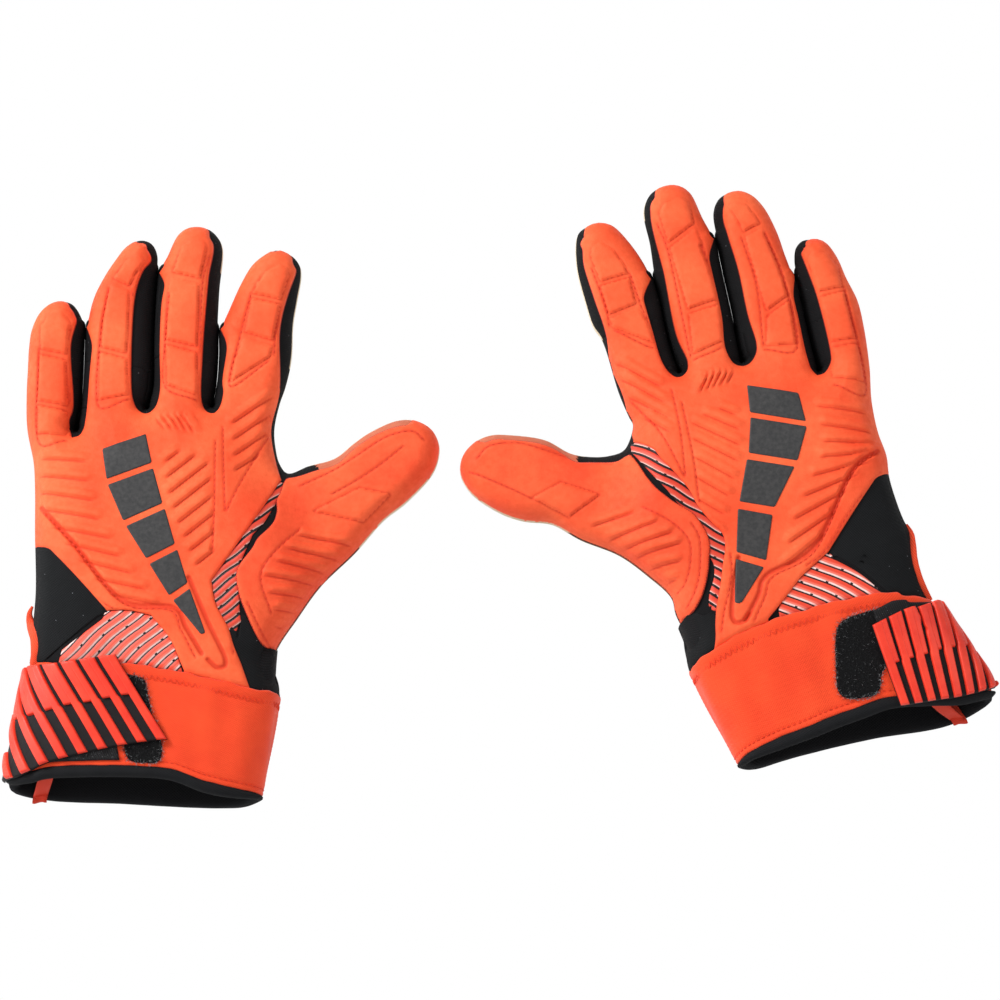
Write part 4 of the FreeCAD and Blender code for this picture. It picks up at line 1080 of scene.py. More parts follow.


# the relief heights also go into the cav attribute, from which the foam material paints shade in
# the hollows and a highlight on the rises
def foam_relief(blocks, ribs, grooves, seams, rib_width=2.2, rib_rise=1.0):
    """Returns the embossing of a foam panel as a function of the points."""
    def relief(points):
        height = np.zeros(len(points))
        for block in blocks:
            emboss_block(height, points, block)
        for rib in ribs:
            emboss_rib(height, points, rib, rib_width, rib_rise)
        for paths, width, depth in ((grooves, 1.6, 1.1), (seams, 1.0, 0.48)):
            for path in paths:
                press_line(height, points, path, width, depth)
        return height
    return relief


FOAM_LINES = {}     # (glove, panel kind): its outline, for the stitches


def build_panel(glove, kind, outline, material, slot, height, edge, grid, thick, lift=0.0,
                emboss=None, ripple=None, red_edge=None):
    """A panel lying on the body. height and edge set its rounded rise; faces closer to its
    outline than red_edge take the edge material, painted shade along the panel's edge. Returns the
    objects."""
    line = Line(outline)
    points, faces, boundary = triangulate(line, [0.3, 0.85, 1.5], 0.4, grid, 2.0)
    to_edge = np.where(inside(points, EDGE[glove].points), EDGE[glove].dist(points), 0.0)
    top, _ = hull(glove, points, to_edge)
    inset = line.dist(points)
    inset[boundary] = 0
    relief = np.zeros(len(points))
    if emboss is not None:
        relief = emboss(points) * ease(inset / 2.2) * ease(to_edge / 3.0)
    if ripple is not None:
        relief = relief + ripple(points) * ease(inset / 2.0)
    in_band = under_band(glove, points, 3.2, 4.2)
    rise = (lift + height * round_edge(inset, edge) + relief) * (1 - in_band)
    z = top + rise - 0.5 * (inset < 0.01) - 0.4 * in_band
    verts = np.c_[draw_in(glove, points), z]
    index = np.zeros(len(faces), int)
    # painted shade: a thin ring of faces along the panel's outline, away from the glove's edge,
    # takes the dark edge material
    if red_edge is not None:
        index[(inset[faces].mean(1) < red_edge) & (to_edge[faces].mean(1) > 1.6)] = 1
        FOAM_LINES[glove, kind] = line
    # relief goes in as cav: on foam panels it drives painted shade in the hollows and a painted
    # highlight on the rises
    return emit(glove, kind, verts, faces, thick, [material, "edge_shade"], index, relief)


# stripes of the prints: angle in degrees, pitch, then height, lean and length of their waves
STRIPES = {
    "left": {"wristprint": dict(angle=42.0, pitch=3.85, wave=0.55, lean=0.5, length=5.0),
             "webprint": dict(angle=38.0, pitch=3.8, wave=0.3, lean=0.0, length=3.0)},
    "right": {"wristprint": dict(angle=25.0, pitch=4.15, wave=0.65, lean=0.4, length=6.5),
              "webprint": dict(angle=30.0, pitch=3.8, wave=0.3, lean=0.0, length=3.0)},
}


def stripe_phase(glove, points, angle, pitch, wave, lean, length):
    """Phase grows towards -Y and the thumb side. Returns it with the distance along."""
    side = SIDE[glove]
    turn = math.radians(angle)
    along = points @ np.array([side * math.cos(turn), math.sin(turn)])
    across = points @ np.array([side * math.sin(turn), -math.cos(turn)])
    return (across + wave * np.sin((along - across * lean) / length)) / pitch, along


def build_print(glove, kind, outline, material, height, ripple_height):
    """A printed panel with low ripples and the stripe phase stored for its material."""
    stripes = STRIPES[glove][kind]

    def ripple(points):
        phase, _ = stripe_phase(glove, points, **stripes)
        part = phase - np.floor(phase)
        to_line = np.minimum(part, 1 - part)
        swell = 0.5 - 0.5 * np.cos(2 * math.pi * np.clip(part - 0.05, 0, 1))
        return ripple_height * swell - ripple_height * 0.9 * np.exp(-(to_line / 0.07) ** 2)

    for ob in build_panel(glove, kind, outline, material, "striped_print", height, 0.6,
                          PRINT_GRID, 0.8, ripple=ripple):
        rest = np.zeros(len(ob.data.vertices) * 3, np.float32)
        ob.data.attributes["rest"].data.foreach_get("vector", rest)
        points = rest.reshape(-1, 3)[:, :2].astype(float)
        phase, along = stripe_phase(glove, points, **stripes)
        add_attribute(ob.data, "ph", phase - math.floor(phase.min()))
        add_attribute(ob.data, "pl", along)


def build_panels(glove):
    thumb = DIGIT[glove, "thumb"]

    def finger_side(points):
        along, across = digit_coords(thumb, points)
        return (across * SIDE[glove] > 4.0) & (along < thumb["length"] + 26.0)

    foam = dict(slot="orange_foam", height=FOAM_HEIGHT, edge=FOAM_EDGE, grid=FOAM_GRID,
                thick=1.6)
    build_panel(glove, "back", snap_out(smooth(BACK[glove], 1.0), glove, back_weight),
                "orange_foam", red_edge=0.35,
                emboss=foam_relief(BLOCKS[glove], RIBS[glove], GROOVES[glove],
                                   BACK_SEAMS[glove]), **foam)
    build_panel(glove, "thumb",
                snap_out(smooth(THUMB[glove], 1.0), glove, thumb_weight, finger_side),
                "orange_foam_thumb", red_edge=0.6,
                emboss=foam_relief(THUMB_BLOCKS[glove], THUMB_RIBS[glove], [],
                                   THUMB_SEAMS[glove], rib_width=2.1, rib_rise=1.2), **foam)
    back, thumb_foam = smooth(BACK[glove], 1.2), smooth(THUMB[glove], 1.2)

    def tucked(name, neighbours):
        return tuck(smooth(under_band_edge(glove, THIN_PANELS[glove][name]), 1.0), neighbours)

    build_panel(glove, "sidepanel", tucked("side", (back, thumb_foam)), "black_side",
                "black_textile", height=0.55, edge=0.6, grid=1.2, thick=0.8)
    build_print(glove, "wristprint", tucked("wrist", (back, thumb_foam)), "striped_print",
                height=0.6, ripple_height=0.32)
    build_print(glove, "webprint", tucked("web", (back,)), "striped_web", height=0.55,
                ripple_height=0.4)
    build_panel(glove, "thumbbase", tucked("thumb_base", (back, thumb_foam)), "black_side",
                "black_textile", height=0.5, edge=0.6, grid=1.2, thick=0.8)
    for i, corners in enumerate(MOTIF[glove]):
        build_panel(glove, "motif%d" % i, smooth([(x, y, 1) for x, y in corners], 1.0),
                    "grey_film", "grey_film", height=0.5, edge=0.5, grid=1.3, thick=0.6,
                    lift=FOAM_HEIGHT - 0.15)


# ------------------------------------------------------------------ stitches
class Batch:
    """Many small meshes gathered into one."""

    def __init__(self):
        self.verts, self.faces, self.count = [], [], 0

    def add(self, verts, faces):
        self.verts.append(verts)
        self.faces += [tuple(i + self.count for i in face) for face in faces]
        self.count += len(verts)

    def build(self, name, material, extra=None):
        return make(name, np.vstack(self.verts), self.faces, [material], extra=extra)


def capsule(sides=6):
    """Unit thread stitch along x, slightly bowed, with its ends sunk."""
    stations = ((-0.5, 0.15, -0.9), (-0.36, 0.8, -0.1), (0.0, 1.0, 0.15), (0.36, 0.8, -0.1),
                (0.5, 0.15, -0.9))      # x, radius, height
    verts, faces = [], []
    for x, radius, z in stations:
        for k in range(sides):
            angle = 2 * math.pi * k / sides
            verts.append((x, radius * math.cos(angle), radius * math.sin(angle) + z))
    last = (len(stations) - 1) * sides
    for i in range(0, last, sides):
        for k in range(sides):
            after = (k + 1) % sides
            faces.append((i + k, i + after, i + sides + after, i + sides + k))
    faces.append(tuple(range(sides))[::-1])
    faces.append(tuple(last + k for k in range(sides)))
    return np.array(verts), faces


STITCH_VERTS, STITCH_FACES = capsule()


def add_stitch(batch, centre, along, normal, length, radius):
    along = along / np.linalg.norm(along)
    normal = normal - along * (normal @ along)
    normal /= np.linalg.norm(normal)
    across = np.cross(normal, along)
    local = STITCH_VERTS * np.array([length, radius, radius])
    batch.add(centre + local[:, :1] * along + local[:, 1:2] * across + local[:, 2:3] * normal,
              STITCH_FACES)


FOAM_STITCHES = {}      # (glove, region): Batch
STITCH_PITCH, STITCH_LENGTH, STITCH_RADIUS, STITCH_SINK = 2.9, 2.0, 0.3, 0.42


def stitch_line(glove, path, host):
    """A row of stitches on a foam panel, kept clear of the panel's and the glove's edge."""
    curve = open_curve(path, 1.0)
    travel = np.r_[0, np.cumsum(np.linalg.norm(np.diff(curve, axis=0), axis=1))]
    count = int(travel[-1] / STITCH_PITCH)
    middles = (np.arange(count) + 0.5) * travel[-1] / count

    def at(shift):
        s = middles + shift
        return np.c_[np.interp(s, travel, curve[:, 0]), np.interp(s, travel, curve[:, 1])]

    def height(points):
        return hull(glove, points)[0] + FOAM_HEIGHT

    centre, start, end = at(0.0), at(-STITCH_LENGTH / 2), at(STITCH_LENGTH / 2)
    z, z_start, z_end = (height(points) - STITCH_SINK for points in (centre, start, end))
    across = np.c_[-(end - start)[:, 1], (end - start)[:, 0]]
    across /= np.maximum(np.linalg.norm(across, axis=1), 1e-9)[:, None]
    slope = height(centre + across * 0.5) - height(centre - across * 0.5)
    regions = region(glove, centre)
    line = FOAM_LINES[glove, host]
    ok = inside(centre, EDGE[glove].points) & (EDGE[glove].dist(centre) > 1.2)
    ok &= inside(centre, line.points) & (line.dist(centre) > 1.3)
    for i in np.nonzero(ok)[0]:
        along = np.array([*(end[i] - start[i]), z_end[i] - z_start[i]])
        normal = np.cross(along, np.array([*across[i], slope[i]]))
        if normal[2] < 0:
            normal = -normal
        batch = FOAM_STITCHES.setdefault((glove, int(regions[i])), Batch())
        add_stitch(batch, np.array([*centre[i], z[i]]), along, normal, STITCH_LENGTH,
                   STITCH_RADIUS)


def build_foam_stitches():
    for (glove, reg), batch in FOAM_STITCHES.items():
        ob = batch.build(piece_name(glove, reg, "thread_orange"), "thread_orange",
                         {"cav": np.zeros(batch.count)})
        PIECES.setdefault((glove, reg), []).append((ob, "thread"))


# ------------------------------------------------------------------ cuff surface
def points_at(path, fractions):
    """Points at fractions (0..1) of the length of a smoothed open path."""
    curve = open_curve(path, 2.0)
    travel = np.r_[0, np.cumsum(np.linalg.norm(np.diff(curve, axis=0), axis=1))]
    s = np.clip(fractions, 0, 1) * travel[-1]
    return np.c_[np.interp(s, travel, curve[:, 0]), np.interp(s, travel, curve[:, 1])]


class Cuff:
    """A flattened tube. point(a, t): a is the distance in mm round the section from the
    little-finger side over the back (negative: under the palm side), and t runs from 0 at the
    band's top edge to 1 at the mouth."""

    STATIONS, T_LOW, T_HIGH = 33, -0.6, 1.25

    def __init__(self, glove):
        edges = CUFF_EDGES[glove]
        self.ts = np.linspace(self.T_LOW, self.T_HIGH, self.STATIONS)
        spread = np.sin(np.linspace(-math.pi / 2, math.pi / 2, 241))
        fractions = (spread + 1) / 2
        top_back, top_palm, mouth_back, mouth_palm = (
            points_at(edges[key], fractions)
            for key in ("top_back", "top_palm", "mouth_back", "mouth_palm"))
        self.rows = []
        for t in self.ts:
            k = float(np.clip(t, 0, 1.15))
            # the section is a superellipse, boxier on the palm side
            z_mid = 12.0 + 3.5 * k
            back_power, palm_power = 3.6 - 1.1 * k, 5.0 - 2.0 * k
            z_back, z_palm = 38.3 - 0.9 * k, -0.9 + 0.6 * k
            back_arc = (1 - np.abs(spread) ** back_power) ** (1 / back_power)
            palm_arc = (1 - np.abs(spread) ** palm_power) ** (1 / palm_power)
            back = np.c_[top_back * (1 - t) + mouth_back * t, z_mid + (z_back - z_mid) * back_arc]
            palm = np.c_[top_palm * (1 - t) + mouth_palm * t, z_mid + (z_palm - z_mid) * palm_arc]
            loop = np.vstack([back, palm[::-1][1:-1], back[:1]])
            travel = np.r_[0, np.cumsum(np.linalg.norm(np.diff(loop, axis=0), axis=1))]
            self.rows.append((loop, travel))
        self.perimeters = np.array([travel[-1] for _, travel in self.rows])
        self.sign = 1.0
        self.sign = 1.0 if self.normal(70.0, 0.4)[2] > 0 else -1.0

    def ring(self, i, a):
        loop, travel = self.rows[i]
        a = np.mod(a, travel[-1])
        return np.c_[tuple(np.interp(a, travel, loop[:, k]) for k in range(3))]

    def point(self, a, t):
        a, t = np.broadcast_arrays(np.asarray(a, float), np.asarray(t, float))
        shape = a.shape
        a, t = a.ravel(), t.ravel()
        last = self.STATIONS - 1
        row = np.clip((t - self.T_LOW) / (self.T_HIGH - self.T_LOW) * last, 0, last - 0.001)
        below = row.astype(int)
        part = (row - below)[:, None]
        out = np.zeros((len(a), 3))
        for i in np.unique(below):
            m = below == i
            out[m] = self.ring(i, a[m]) * (1 - part[m]) + self.ring(i + 1, a[m]) * part[m]
        return out.reshape(shape + (3,))

    def normal(self, a, t, step_a=0.35, step_t=0.01):
        a, t = np.asarray(a), np.asarray(t)
        round_cuff = self.point(a + step_a, t) - self.point(a - step_a, t)
        down_cuff = self.point(a, t + step_t) - self.point(a, t - step_t)
        normal = np.cross(down_cuff, round_cuff) * self.sign
        return normal / np.maximum(np.linalg.norm(normal, axis=-1, keepdims=True), 1e-9)

    def raised(self, a, t, height):
        """Point at a height above the surface."""
        return self.point(a, t) + self.normal(a, t) * height

    def distance(self, fraction, t):
        """Distance round the section for a fraction (0..1) of the way."""
        return np.asarray(fraction) * np.interp(t, self.ts, self.perimeters)


# ------------------------------------------------------------------ grids
def grid_faces(rows, columns, close_rows=False, close_columns=False, flip=False):
    faces = []
    for i in range(rows if close_rows else rows - 1):
        i2 = (i + 1) % rows
        for j in range(columns if close_columns else columns - 1):
            j2 = (j + 1) % columns
            face = (i * columns + j, i * columns + j2, i2 * columns + j2, i2 * columns + j)
            faces.append(face[::-1] if flip else face)
    return faces


def outward(verts, faces):
    """Turns the faces of a closed mesh outward if its volume comes out negative."""
    verts = np.asarray(verts)
    triangles = [(f[0], f[k], f[k + 1]) for f in faces for k in range(1, len(f) - 1)]
    corners = verts[np.array(triangles)]
    cross = np.cross(corners[:, 1], corners[:, 2])
    volume = float(np.einsum("ij,ij->i", corners[:, 0], cross).sum())
    return faces if volume > 0 else [tuple(face[::-1]) for face in faces]


def closed_slab(top, bottom):
    """Top and bottom grids (rows, columns, 3) joined into one closed body."""
    m, n = top.shape[:2]
    verts = np.vstack([top.reshape(-1, 3), bottom.reshape(-1, 3)])
    k = m * n
    faces = grid_faces(m, n)
    faces += [tuple(i + k for i in face) for face in grid_faces(m, n, flip=True)]
    ring = [(0, j) for j in range(n)] + [(i, n - 1) for i in range(1, m)]
    ring += [(m - 1, j) for j in range(n - 2, -1, -1)] + [(i, 0) for i in range(m - 2, 0, -1)]
    ids = [i * n + j for i, j in ring]
    for a, b in zip(ids, ids[1:] + ids[:1]):
        faces.append((b, a, a + k, b + k))
    return verts, outward(verts, faces)


def crowded(count, amount):
    """0..1 samples crowded at both ends."""
    x = np.linspace(0, 1, count)
    return (1 - amount) * x + amount * (x - np.sin(2 * math.pi * x) / (2 * math.pi))


# ------------------------------------------------------------------ wrist band
BAND_COLUMNS = 300
# (t, height) of the turned-in top edge and of the rounded edge at the mouth
BAND_TOP_EDGE = [(0.03, -1.95), (0.012, -1.9), (-0.008, -1.5), (-0.018, -0.9), (-0.010, -0.3),
                 (0.006, -0.03)]
BAND_MOUTH_EDGE = [(0.985, -0.08), (0.996, -0.5), (1.0, -1.1), (0.994, -1.7)]
ZIGZAG = (3.1, 6.1)     # near and far edge of the zigzag seam, mm from the top edge
MOUTH_SEAM = 3.2        # straight seam, mm from the mouth


def band_height(t, angle):
    """Outer face of the band: fine ribs, slow waves and a channel under each seam."""
    waves = 0.34 * np.sin(9 * angle + 0.4 + 2.5 * t) + 0.22 * np.sin(17 * angle + 1.9 - 4 * t)
    envelope = ease((t - 0.02) / 0.1) * ease((0.99 - t) / 0.12)
    from_top, from_mouth = t * BAND_LENGTH, (1 - t) * BAND_LENGTH
    return (0.045 * math.cos(2 * math.pi * from_top / 2.1) + waves * envelope * 0.8
            - 0.28 * math.exp(-((from_top - sum(ZIGZAG) / 2) / 1.9) ** 2)
            - 0.35 * math.exp(-((from_mouth - MOUTH_SEAM) / 0.9) ** 2))


def build_band(glove, cuff):
    fraction = np.arange(BAND_COLUMNS) / BAND_COLUMNS
    angle = 2 * math.pi * fraction
    profile = BAND_TOP_EDGE + [(t, band_height(t, angle)) for t in np.linspace(0.02, 0.972, 84)]
    profile += BAND_MOUTH_EDGE + [(t, -2.0) for t in np.linspace(0.97, 0.06, 8)]
    drift = 0.006 * np.sin(13 * angle + 4.4) + 0.004 * np.sin(29 * angle + 2.6)
    rows = [cuff.raised(cuff.distance(fraction, t), t + drift * (1 if t < 0.5 else 0.5),
                        np.reshape(height, (-1, 1)))
            for t, height in profile]
    verts = np.array(rows).reshape(-1, 3)
    faces = outward(verts, grid_faces(len(profile), BAND_COLUMNS, True, True))
    extra = {"cav": np.zeros(len(verts)),
             "ax": np.repeat([t * BAND_LENGTH for t, _ in profile], BAND_COLUMNS),
             "rd": np.tile(fraction * 283, len(profile))}
    ob = make(glove + "_wrist_band_knit", verts, faces, ["orange_elastic"], extra=extra)
    place(ob, glove + "_hand", "orange_elastic", glove + "_wrist_band")


def build_band_seams(glove, cuff):
    """Zigzag seam under the top edge and a straight seam by the mouth, as one object."""
    batch = Batch()
    perimeter = float(cuff.distance(1.0, 0.1))
    count = int(perimeter / 1.45)
    for i in range(count):
        a0, a1 = perimeter * i / count, perimeter * (i + 1) / count
        from0, from1 = ZIGZAG if i % 2 else ZIGZAG[::-1]
        start = cuff.point(a0, from0 / BAND_LENGTH)
        end = cuff.point(a1, from1 / BAND_LENGTH)
        add_stitch(batch, (start + end) / 2, end - start, cuff.normal((a0 + a1) / 2, 0.1),
                   length=float(np.linalg.norm(end - start)) * 0.9, radius=0.15)
    perimeter = float(cuff.distance(1.0, 0.93))
    count = int(perimeter / 2.6)
    seam_t = 1 - MOUTH_SEAM / BAND_LENGTH
    for i in range(count):
        a0 = perimeter * (i + 0.1) / count
        a1 = a0 + 1.9
        start, end = cuff.point(a0, seam_t), cuff.point(a1, seam_t)
        add_stitch(batch, (start + end) / 2, end - start, cuff.normal((a0 + a1) / 2, 0.93),
                   length=1.9, radius=0.22)
    place(batch.build(glove + "_band_zigzag", "thread_red"), glove + "_hand", "orange_elastic")


# ------------------------------------------------------------------ cuff lining and pull loop
LINING_COLUMNS = 200
# (t, height) between the glove and the band, and back up inside the cuff
LINING_OUTER = [(-0.45, -5.6), (-0.2, -4.2), (0.1, -2.9), (0.5, -2.3), (0.8, -2.1),
                (0.95, -1.9), (0.985, -1.2), (0.992, -0.5), (1.0, -0.1)]
LINING_INNER = [(0.98, -5.0), (0.95, -5.0), (0.9, -4.7), (0.8, -4.4), (0.65, -4.3),
                (0.5, -4.4), (0.3, -4.7), (0.1, -5.0), (-0.1, -5.6), (-0.3, -6.8),
                (-0.42, -8.2)]
# (part of the rim's reach past the mouth, height) round the rolled rim
LINING_ROLL = [(0.12, 0.35), (0.3, 0.55), (0.5, 0.62), (0.7, 0.3), (0.85, -0.5),
               (0.96, -1.5), (1.0, -2.6), (0.93, -3.6), (0.75, -4.3), (0.4, -4.8)]


def build_lining(glove, cuff):
    count = LINING_COLUMNS
    fraction = np.arange(count) / count
    angle = 2 * math.pi * fraction

    def knit_rows(profile):
        return [cuff.raised(cuff.distance(fraction, t), np.full(count, t), height)
                for t, height in profile]

    # the rolled rim stands out further on the back of the wrist than under the palm
    reach = 0.022 + 0.088 * ease((np.sin(angle) + 0.25) / 0.9)
    waves = 0.18 * np.sin(angle * 11 + 1) + 0.12 * np.sin(angle * 23)
    a = cuff.distance(fraction, 1.0)
    normal = cuff.normal(a, np.full(count, 1.0))
    roll = [cuff.point(a, 1.0 + reach * part) + normal * (height + waves * (part > 0.2))[:, None]
            for part, height in LINING_ROLL]
    rows = np.array(knit_rows(LINING_OUTER) + roll + knit_rows(LINING_INNER))
    cav = [0] * len(LINING_OUTER) + [1] * len(LINING_ROLL) + [0] * len(LINING_INNER)
    verts = rows.reshape(-1, 3)
    faces = grid_faces(len(rows), count, False, True)
    first_cap, last_cap = len(verts), len(verts) + 1
    verts = np.vstack([verts, rows[0].mean(0)[None], rows[-1].mean(0)[None]])
    last = (len(rows) - 1) * count
    for j in range(count):
        faces.append((j, first_cap, (j + 1) % count))
        faces.append((last + (j + 1) % count, last_cap, last + j))
    ob = make(glove + "_cuff_lining_knit", verts, outward(verts, faces), ["lining"],
              extra={"cav": np.r_[np.repeat(cav, count), 0, 0]})
    place(ob, glove + "_hand", "black_lining", glove + "_cuff_lining")


# places of the loop's two ends round the cuff: on the back and on the palm side
PULL_LOOP = {"left": (27.0, -24.0), "right": (38.0, -27.0)}
RIBBON_HALF_WIDTH, RIBBON_HALF_THICKNESS = 3.4, 0.55


def unit_rows(vectors):
    return vectors / np.linalg.norm(vectors, axis=1)[:, None]


def build_pull_loop(glove, cuff):
    """A ribbon from inside the back of the mouth across to the palm side."""
    back, palm = PULL_LOOP[glove]
    back_in = cuff.raised(back, 0.78, -6.0)
    back_rim = cuff.raised(back, 0.99, -7.0)
    palm_normal = cuff.normal(palm, 1.0)
    palm_rim = cuff.point(palm, 1.01) - palm_normal * 3.5
    palm_out = cuff.point(palm, 1.03) - palm_normal * 6.5
    palm_in = cuff.raised(palm, 0.8, -6.5)
    middle = (back_rim + palm_rim) / 2 + np.array([0, -1.5, 2.0])
    centre = catmull([back_in, back_rim, middle, palm_rim, palm_out, palm_in],
                     lambda length: 8, mirror_ends=False)
    wide = cuff.point(back + 1.0, 1.0) - cuff.point(back - 1.0, 1.0)
    wide /= np.linalg.norm(wide)
    tangent = unit_rows(np.gradient(centre, axis=0))
    across = unit_rows(wide - tangent * (tangent @ wide)[:, None])
    normal = np.cross(tangent, across)
    s = np.linspace(-1, 1, 11)
    half = RIBBON_HALF_THICKNESS * np.sqrt(np.maximum(0.02, 1 - s**6))
    flat = centre[:, None] + across[:, None] * (s * RIBBON_HALF_WIDTH)[None, :, None]
    swell = normal[:, None] * half[None, :, None]
    verts, faces = closed_slab(flat + swell, flat - swell)
    place(make(glove + "_pull_loop", verts, faces, ["ribbon"]), glove + "_hand",
          "orange_elastic")


# ------------------------------------------------------------------ strap
# Bars lie between numbered lines along the wrist, numbered from the tab's free edge towards the
# little-finger side. tau runs from 0 at the fingers' end of a line to 1 at the mouth end.
#   a0, a0_step, a1, a1_step   place round the cuff at tau 0 and 1, and its step per line
#   t0, t0_step, t1, t1_step   the same for t; t0_range and t1_max limit them
#   last, width, joint         last bar, width of its raised part in lines, tau of the low step
STRAP = {
    "left": dict(a0=47.6, a0_step=8.4, t0=-0.065, t0_step=0.028, a1=75.5, a1_step=8.8,
                 t1=0.742, t1_step=0.042, t0_range=(-math.inf, 0.16), t1_max=1.03,
                 last=10, joint=0.47, width=0.48),
    "right": dict(a0=44.7, a0_step=8.1, t0=0.231, t0_step=-0.052, a1=50.9, a1_step=6.4,
                  t1=1.09, t1_step=-0.014, t0_range=(0.05, math.inf), t1_max=1.10,
                  last=9, joint=0.51, width=0.38),
}
WRAP_END = -1.5         # the bars stop here, just under the little-finger side
# Woven strip: where it starts under the palm side, how far it reaches over the back at its
# finger edge, how much more at its mouth edge, and (a, t) stations of those two edges.
ELASTIC_START = -34
ELASTIC = {
    "left": dict(reach=51.0, more=12.5,
                 finger_edge=([-34, 0, 12, 51], [0.16, 0.13, 0.10, 0.0]),
                 mouth_edge=([-34, 0, 20, 44, 64], [0.93, 0.96, 0.955, 0.955, 0.945])),
    "right": dict(reach=49.5, more=5.0,
                  finger_edge=([-34, 0, 20.8, 38.7, 48.6], [0.06, 0.045, 0.05, 0.075, 0.14]),
                  mouth_edge=([-34, 55], [0.965, 0.965])),
}


def line_a(strap, k, tau):
    return ((strap["a0"] - strap["a0_step"] * k) * (1 - tau)
            + (strap["a1"] - strap["a1_step"] * k) * tau)


def line_t(strap, k, tau):
    t0 = np.clip(strap["t0"] + strap["t0_step"] * k, *strap["t0_range"])
    t1 = np.minimum(strap["t1"] + strap["t1_step"] * k, strap["t1_max"])
    return t0 * (1 - tau) + t1 * tau


def strap_slab(cuff, strap, lines, taus, base, height, radius, counts, crowding=0.7, tilt=0.0):
    """Rounded bar between two lines (functions of tau) over a range of tau."""
    s, r = crowded(counts[0], crowding), crowded(counts[1], 0.6)
    tau = taus[0] + (taus[1] - taus[0]) * r
    k0, k1 = (np.array([line(value) for value in tau]) for line in lines)
    k = k0[None, :] + (k1 - k0)[None, :] * s[:, None]
    tau_grid = np.broadcast_to(tau[None, :], k.shape)
    a, t = line_a(strap, k, tau_grid), line_t(strap, k, tau_grid)
    width = np.abs(k1 - k0)[None, :] * strap["a0_step"]
    from_side = np.minimum(s, 1 - s)[:, None] * width
    from_end = np.minimum(r, 1 - r)[None, :] * (taus[1] - taus[0]) * 40.0
    rise = height * round_edge(from_side, radius) * round_edge(from_end, radius)
    rise = rise + tilt * (s[:, None] - 0.5)
    return closed_slab(cuff.raised(a, t, (base + rise)[..., None]),
                       cuff.raised(a, t, base - 0.25))


def build_tab_carrier(glove, cuff):
    strap = STRAP[glove]

    def wrap_line(tau):
        step = strap["a0_step"] * (1 - tau) + strap["a1_step"] * tau
        return (line_a(strap, 0, tau) - WRAP_END) / step

    verts, faces = strap_slab(cuff, strap, (lambda tau: -1.02, wrap_line), (-0.004, 1.004),
                              base=1.55, height=1.25, radius=0.9, counts=(90, 60),
                              crowding=0.5)
    place(make(glove + "_tab_carrier", verts, faces, ["tab_black"]), glove + "_strap",
          "black_elastic")


def build_tab_bars(glove, cuff):
    strap = STRAP[glove]
    joint, width = strap["joint"], strap["width"]
    base = 2.75
    batch = Batch()
    for k in range(strap["last"] + 1):
        a_start, a_end = (float(line_a(strap, k - 0.08, tau)) for tau in (0.0, 1.0))
        if a_end <= WRAP_END + 1.0:
            continue
        # a bar starts where its little-finger edge clears the end of the wrap
        start = 0.0
        if a_start < WRAP_END + 0.5:
            start = (WRAP_END + 0.5 - a_start) / (a_end - a_start)
        low = k - 1 + (0.09 if k else 0.0)
        past_joint = low - (0.06 if k else 0.0)
        lead = lambda tau: low if tau < joint else past_joint
        batch.add(*strap_slab(cuff, strap, (lead, lambda tau: k - width), (start, 1.0), base,
                              height=1.75, radius=0.85, counts=(15, 50), tilt=0.22))
        if start < joint - 0.1:
            end = joint + 0.006 * ((k * 7) % 3 - 1)
            lines = (lambda tau: k - width - 0.14, lambda tau: k - 0.09)
            batch.add(*strap_slab(cuff, strap, lines, (start, end), base, height=1.7,
                                  radius=0.8, counts=(15, 26), tilt=-0.1))
    place(batch.build(glove + "_tab_bars", "red_rubber"), glove + "_strap", "red_rubber",
          glove + "_strap_tab")


def build_strap_elastic(glove, cuff):
    """Woven strip from under the palm side, round the little-finger edge, to the tab."""
    shape = ELASTIC[glove]
    s, tau = crowded(130, 0.3)[:, None], crowded(50, 0.55)[None, :]
    a = ELASTIC_START + (shape["reach"] + shape["more"] * tau - ELASTIC_START) * s
    t = (np.interp(a, *shape["finger_edge"]) * (1 - tau)
         + np.interp(a, *shape["mouth_edge"]) * tau)
    from_end = np.minimum(s, 1 - s) * 90
    from_side = np.minimum(tau, 1 - tau) * 40
    rise = (1.15 * round_edge(from_end, 0.7) * round_edge(from_side, 0.7)
            + 0.07 * np.cos(from_side * 2 * math.pi / 1.3))
    verts, faces = closed_slab(cuff.raised(a, t, (0.42 + rise)[..., None]),
                               cuff.raised(a, t, 0.4))
    ob = make(glove + "_strap_elastic_woven", verts, faces, ["black_elastic"])
    x, y, _ = cuff.point(0.0, 0.5) / 1000
    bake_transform(ob)
    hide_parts(glove + "_strap_elastic")


# ------------------------------------------------------------------ loop patch
# corners as (distance round the cuff, t)
PATCH = {
    "left": [(50, 0.12), (70.8, 0.13), (72.6, 0.23), (76.5, 0.486), (81.8, 0.74), (82.3, 0.90),
             (80.5, 0.95), (76, 0.962), (69.5, 0.955), (66.4, 0.90), (64.0, 0.75), (56, 0.45)],
    "right": [(68.2, 0.235), (63.8, 0.18), (56, 0.15), (46, 0.155), (46.5, 0.4), (51, 0.6),
              (58, 0.75), (62.5, 0.90), (66.0, 0.945), (71.5, 0.93), (77.0, 0.90),
              (80.5, 0.82), (77, 0.6)],
}
FIBRES = 1100
FIBRE_BOW = ((0, 0), (0.25, 0.42), (0.6, 0.6), (1.0, 0.35))    # along, up, per unit length
FIBRE_FACES = [(s * 3 + q, s * 3 + (q + 1) % 3, s * 3 + 3 + (q + 1) % 3, s * 3 + 3 + q)
               for s in range(3) for q in range(3)] + [(2, 1, 0), (9, 10, 11)]


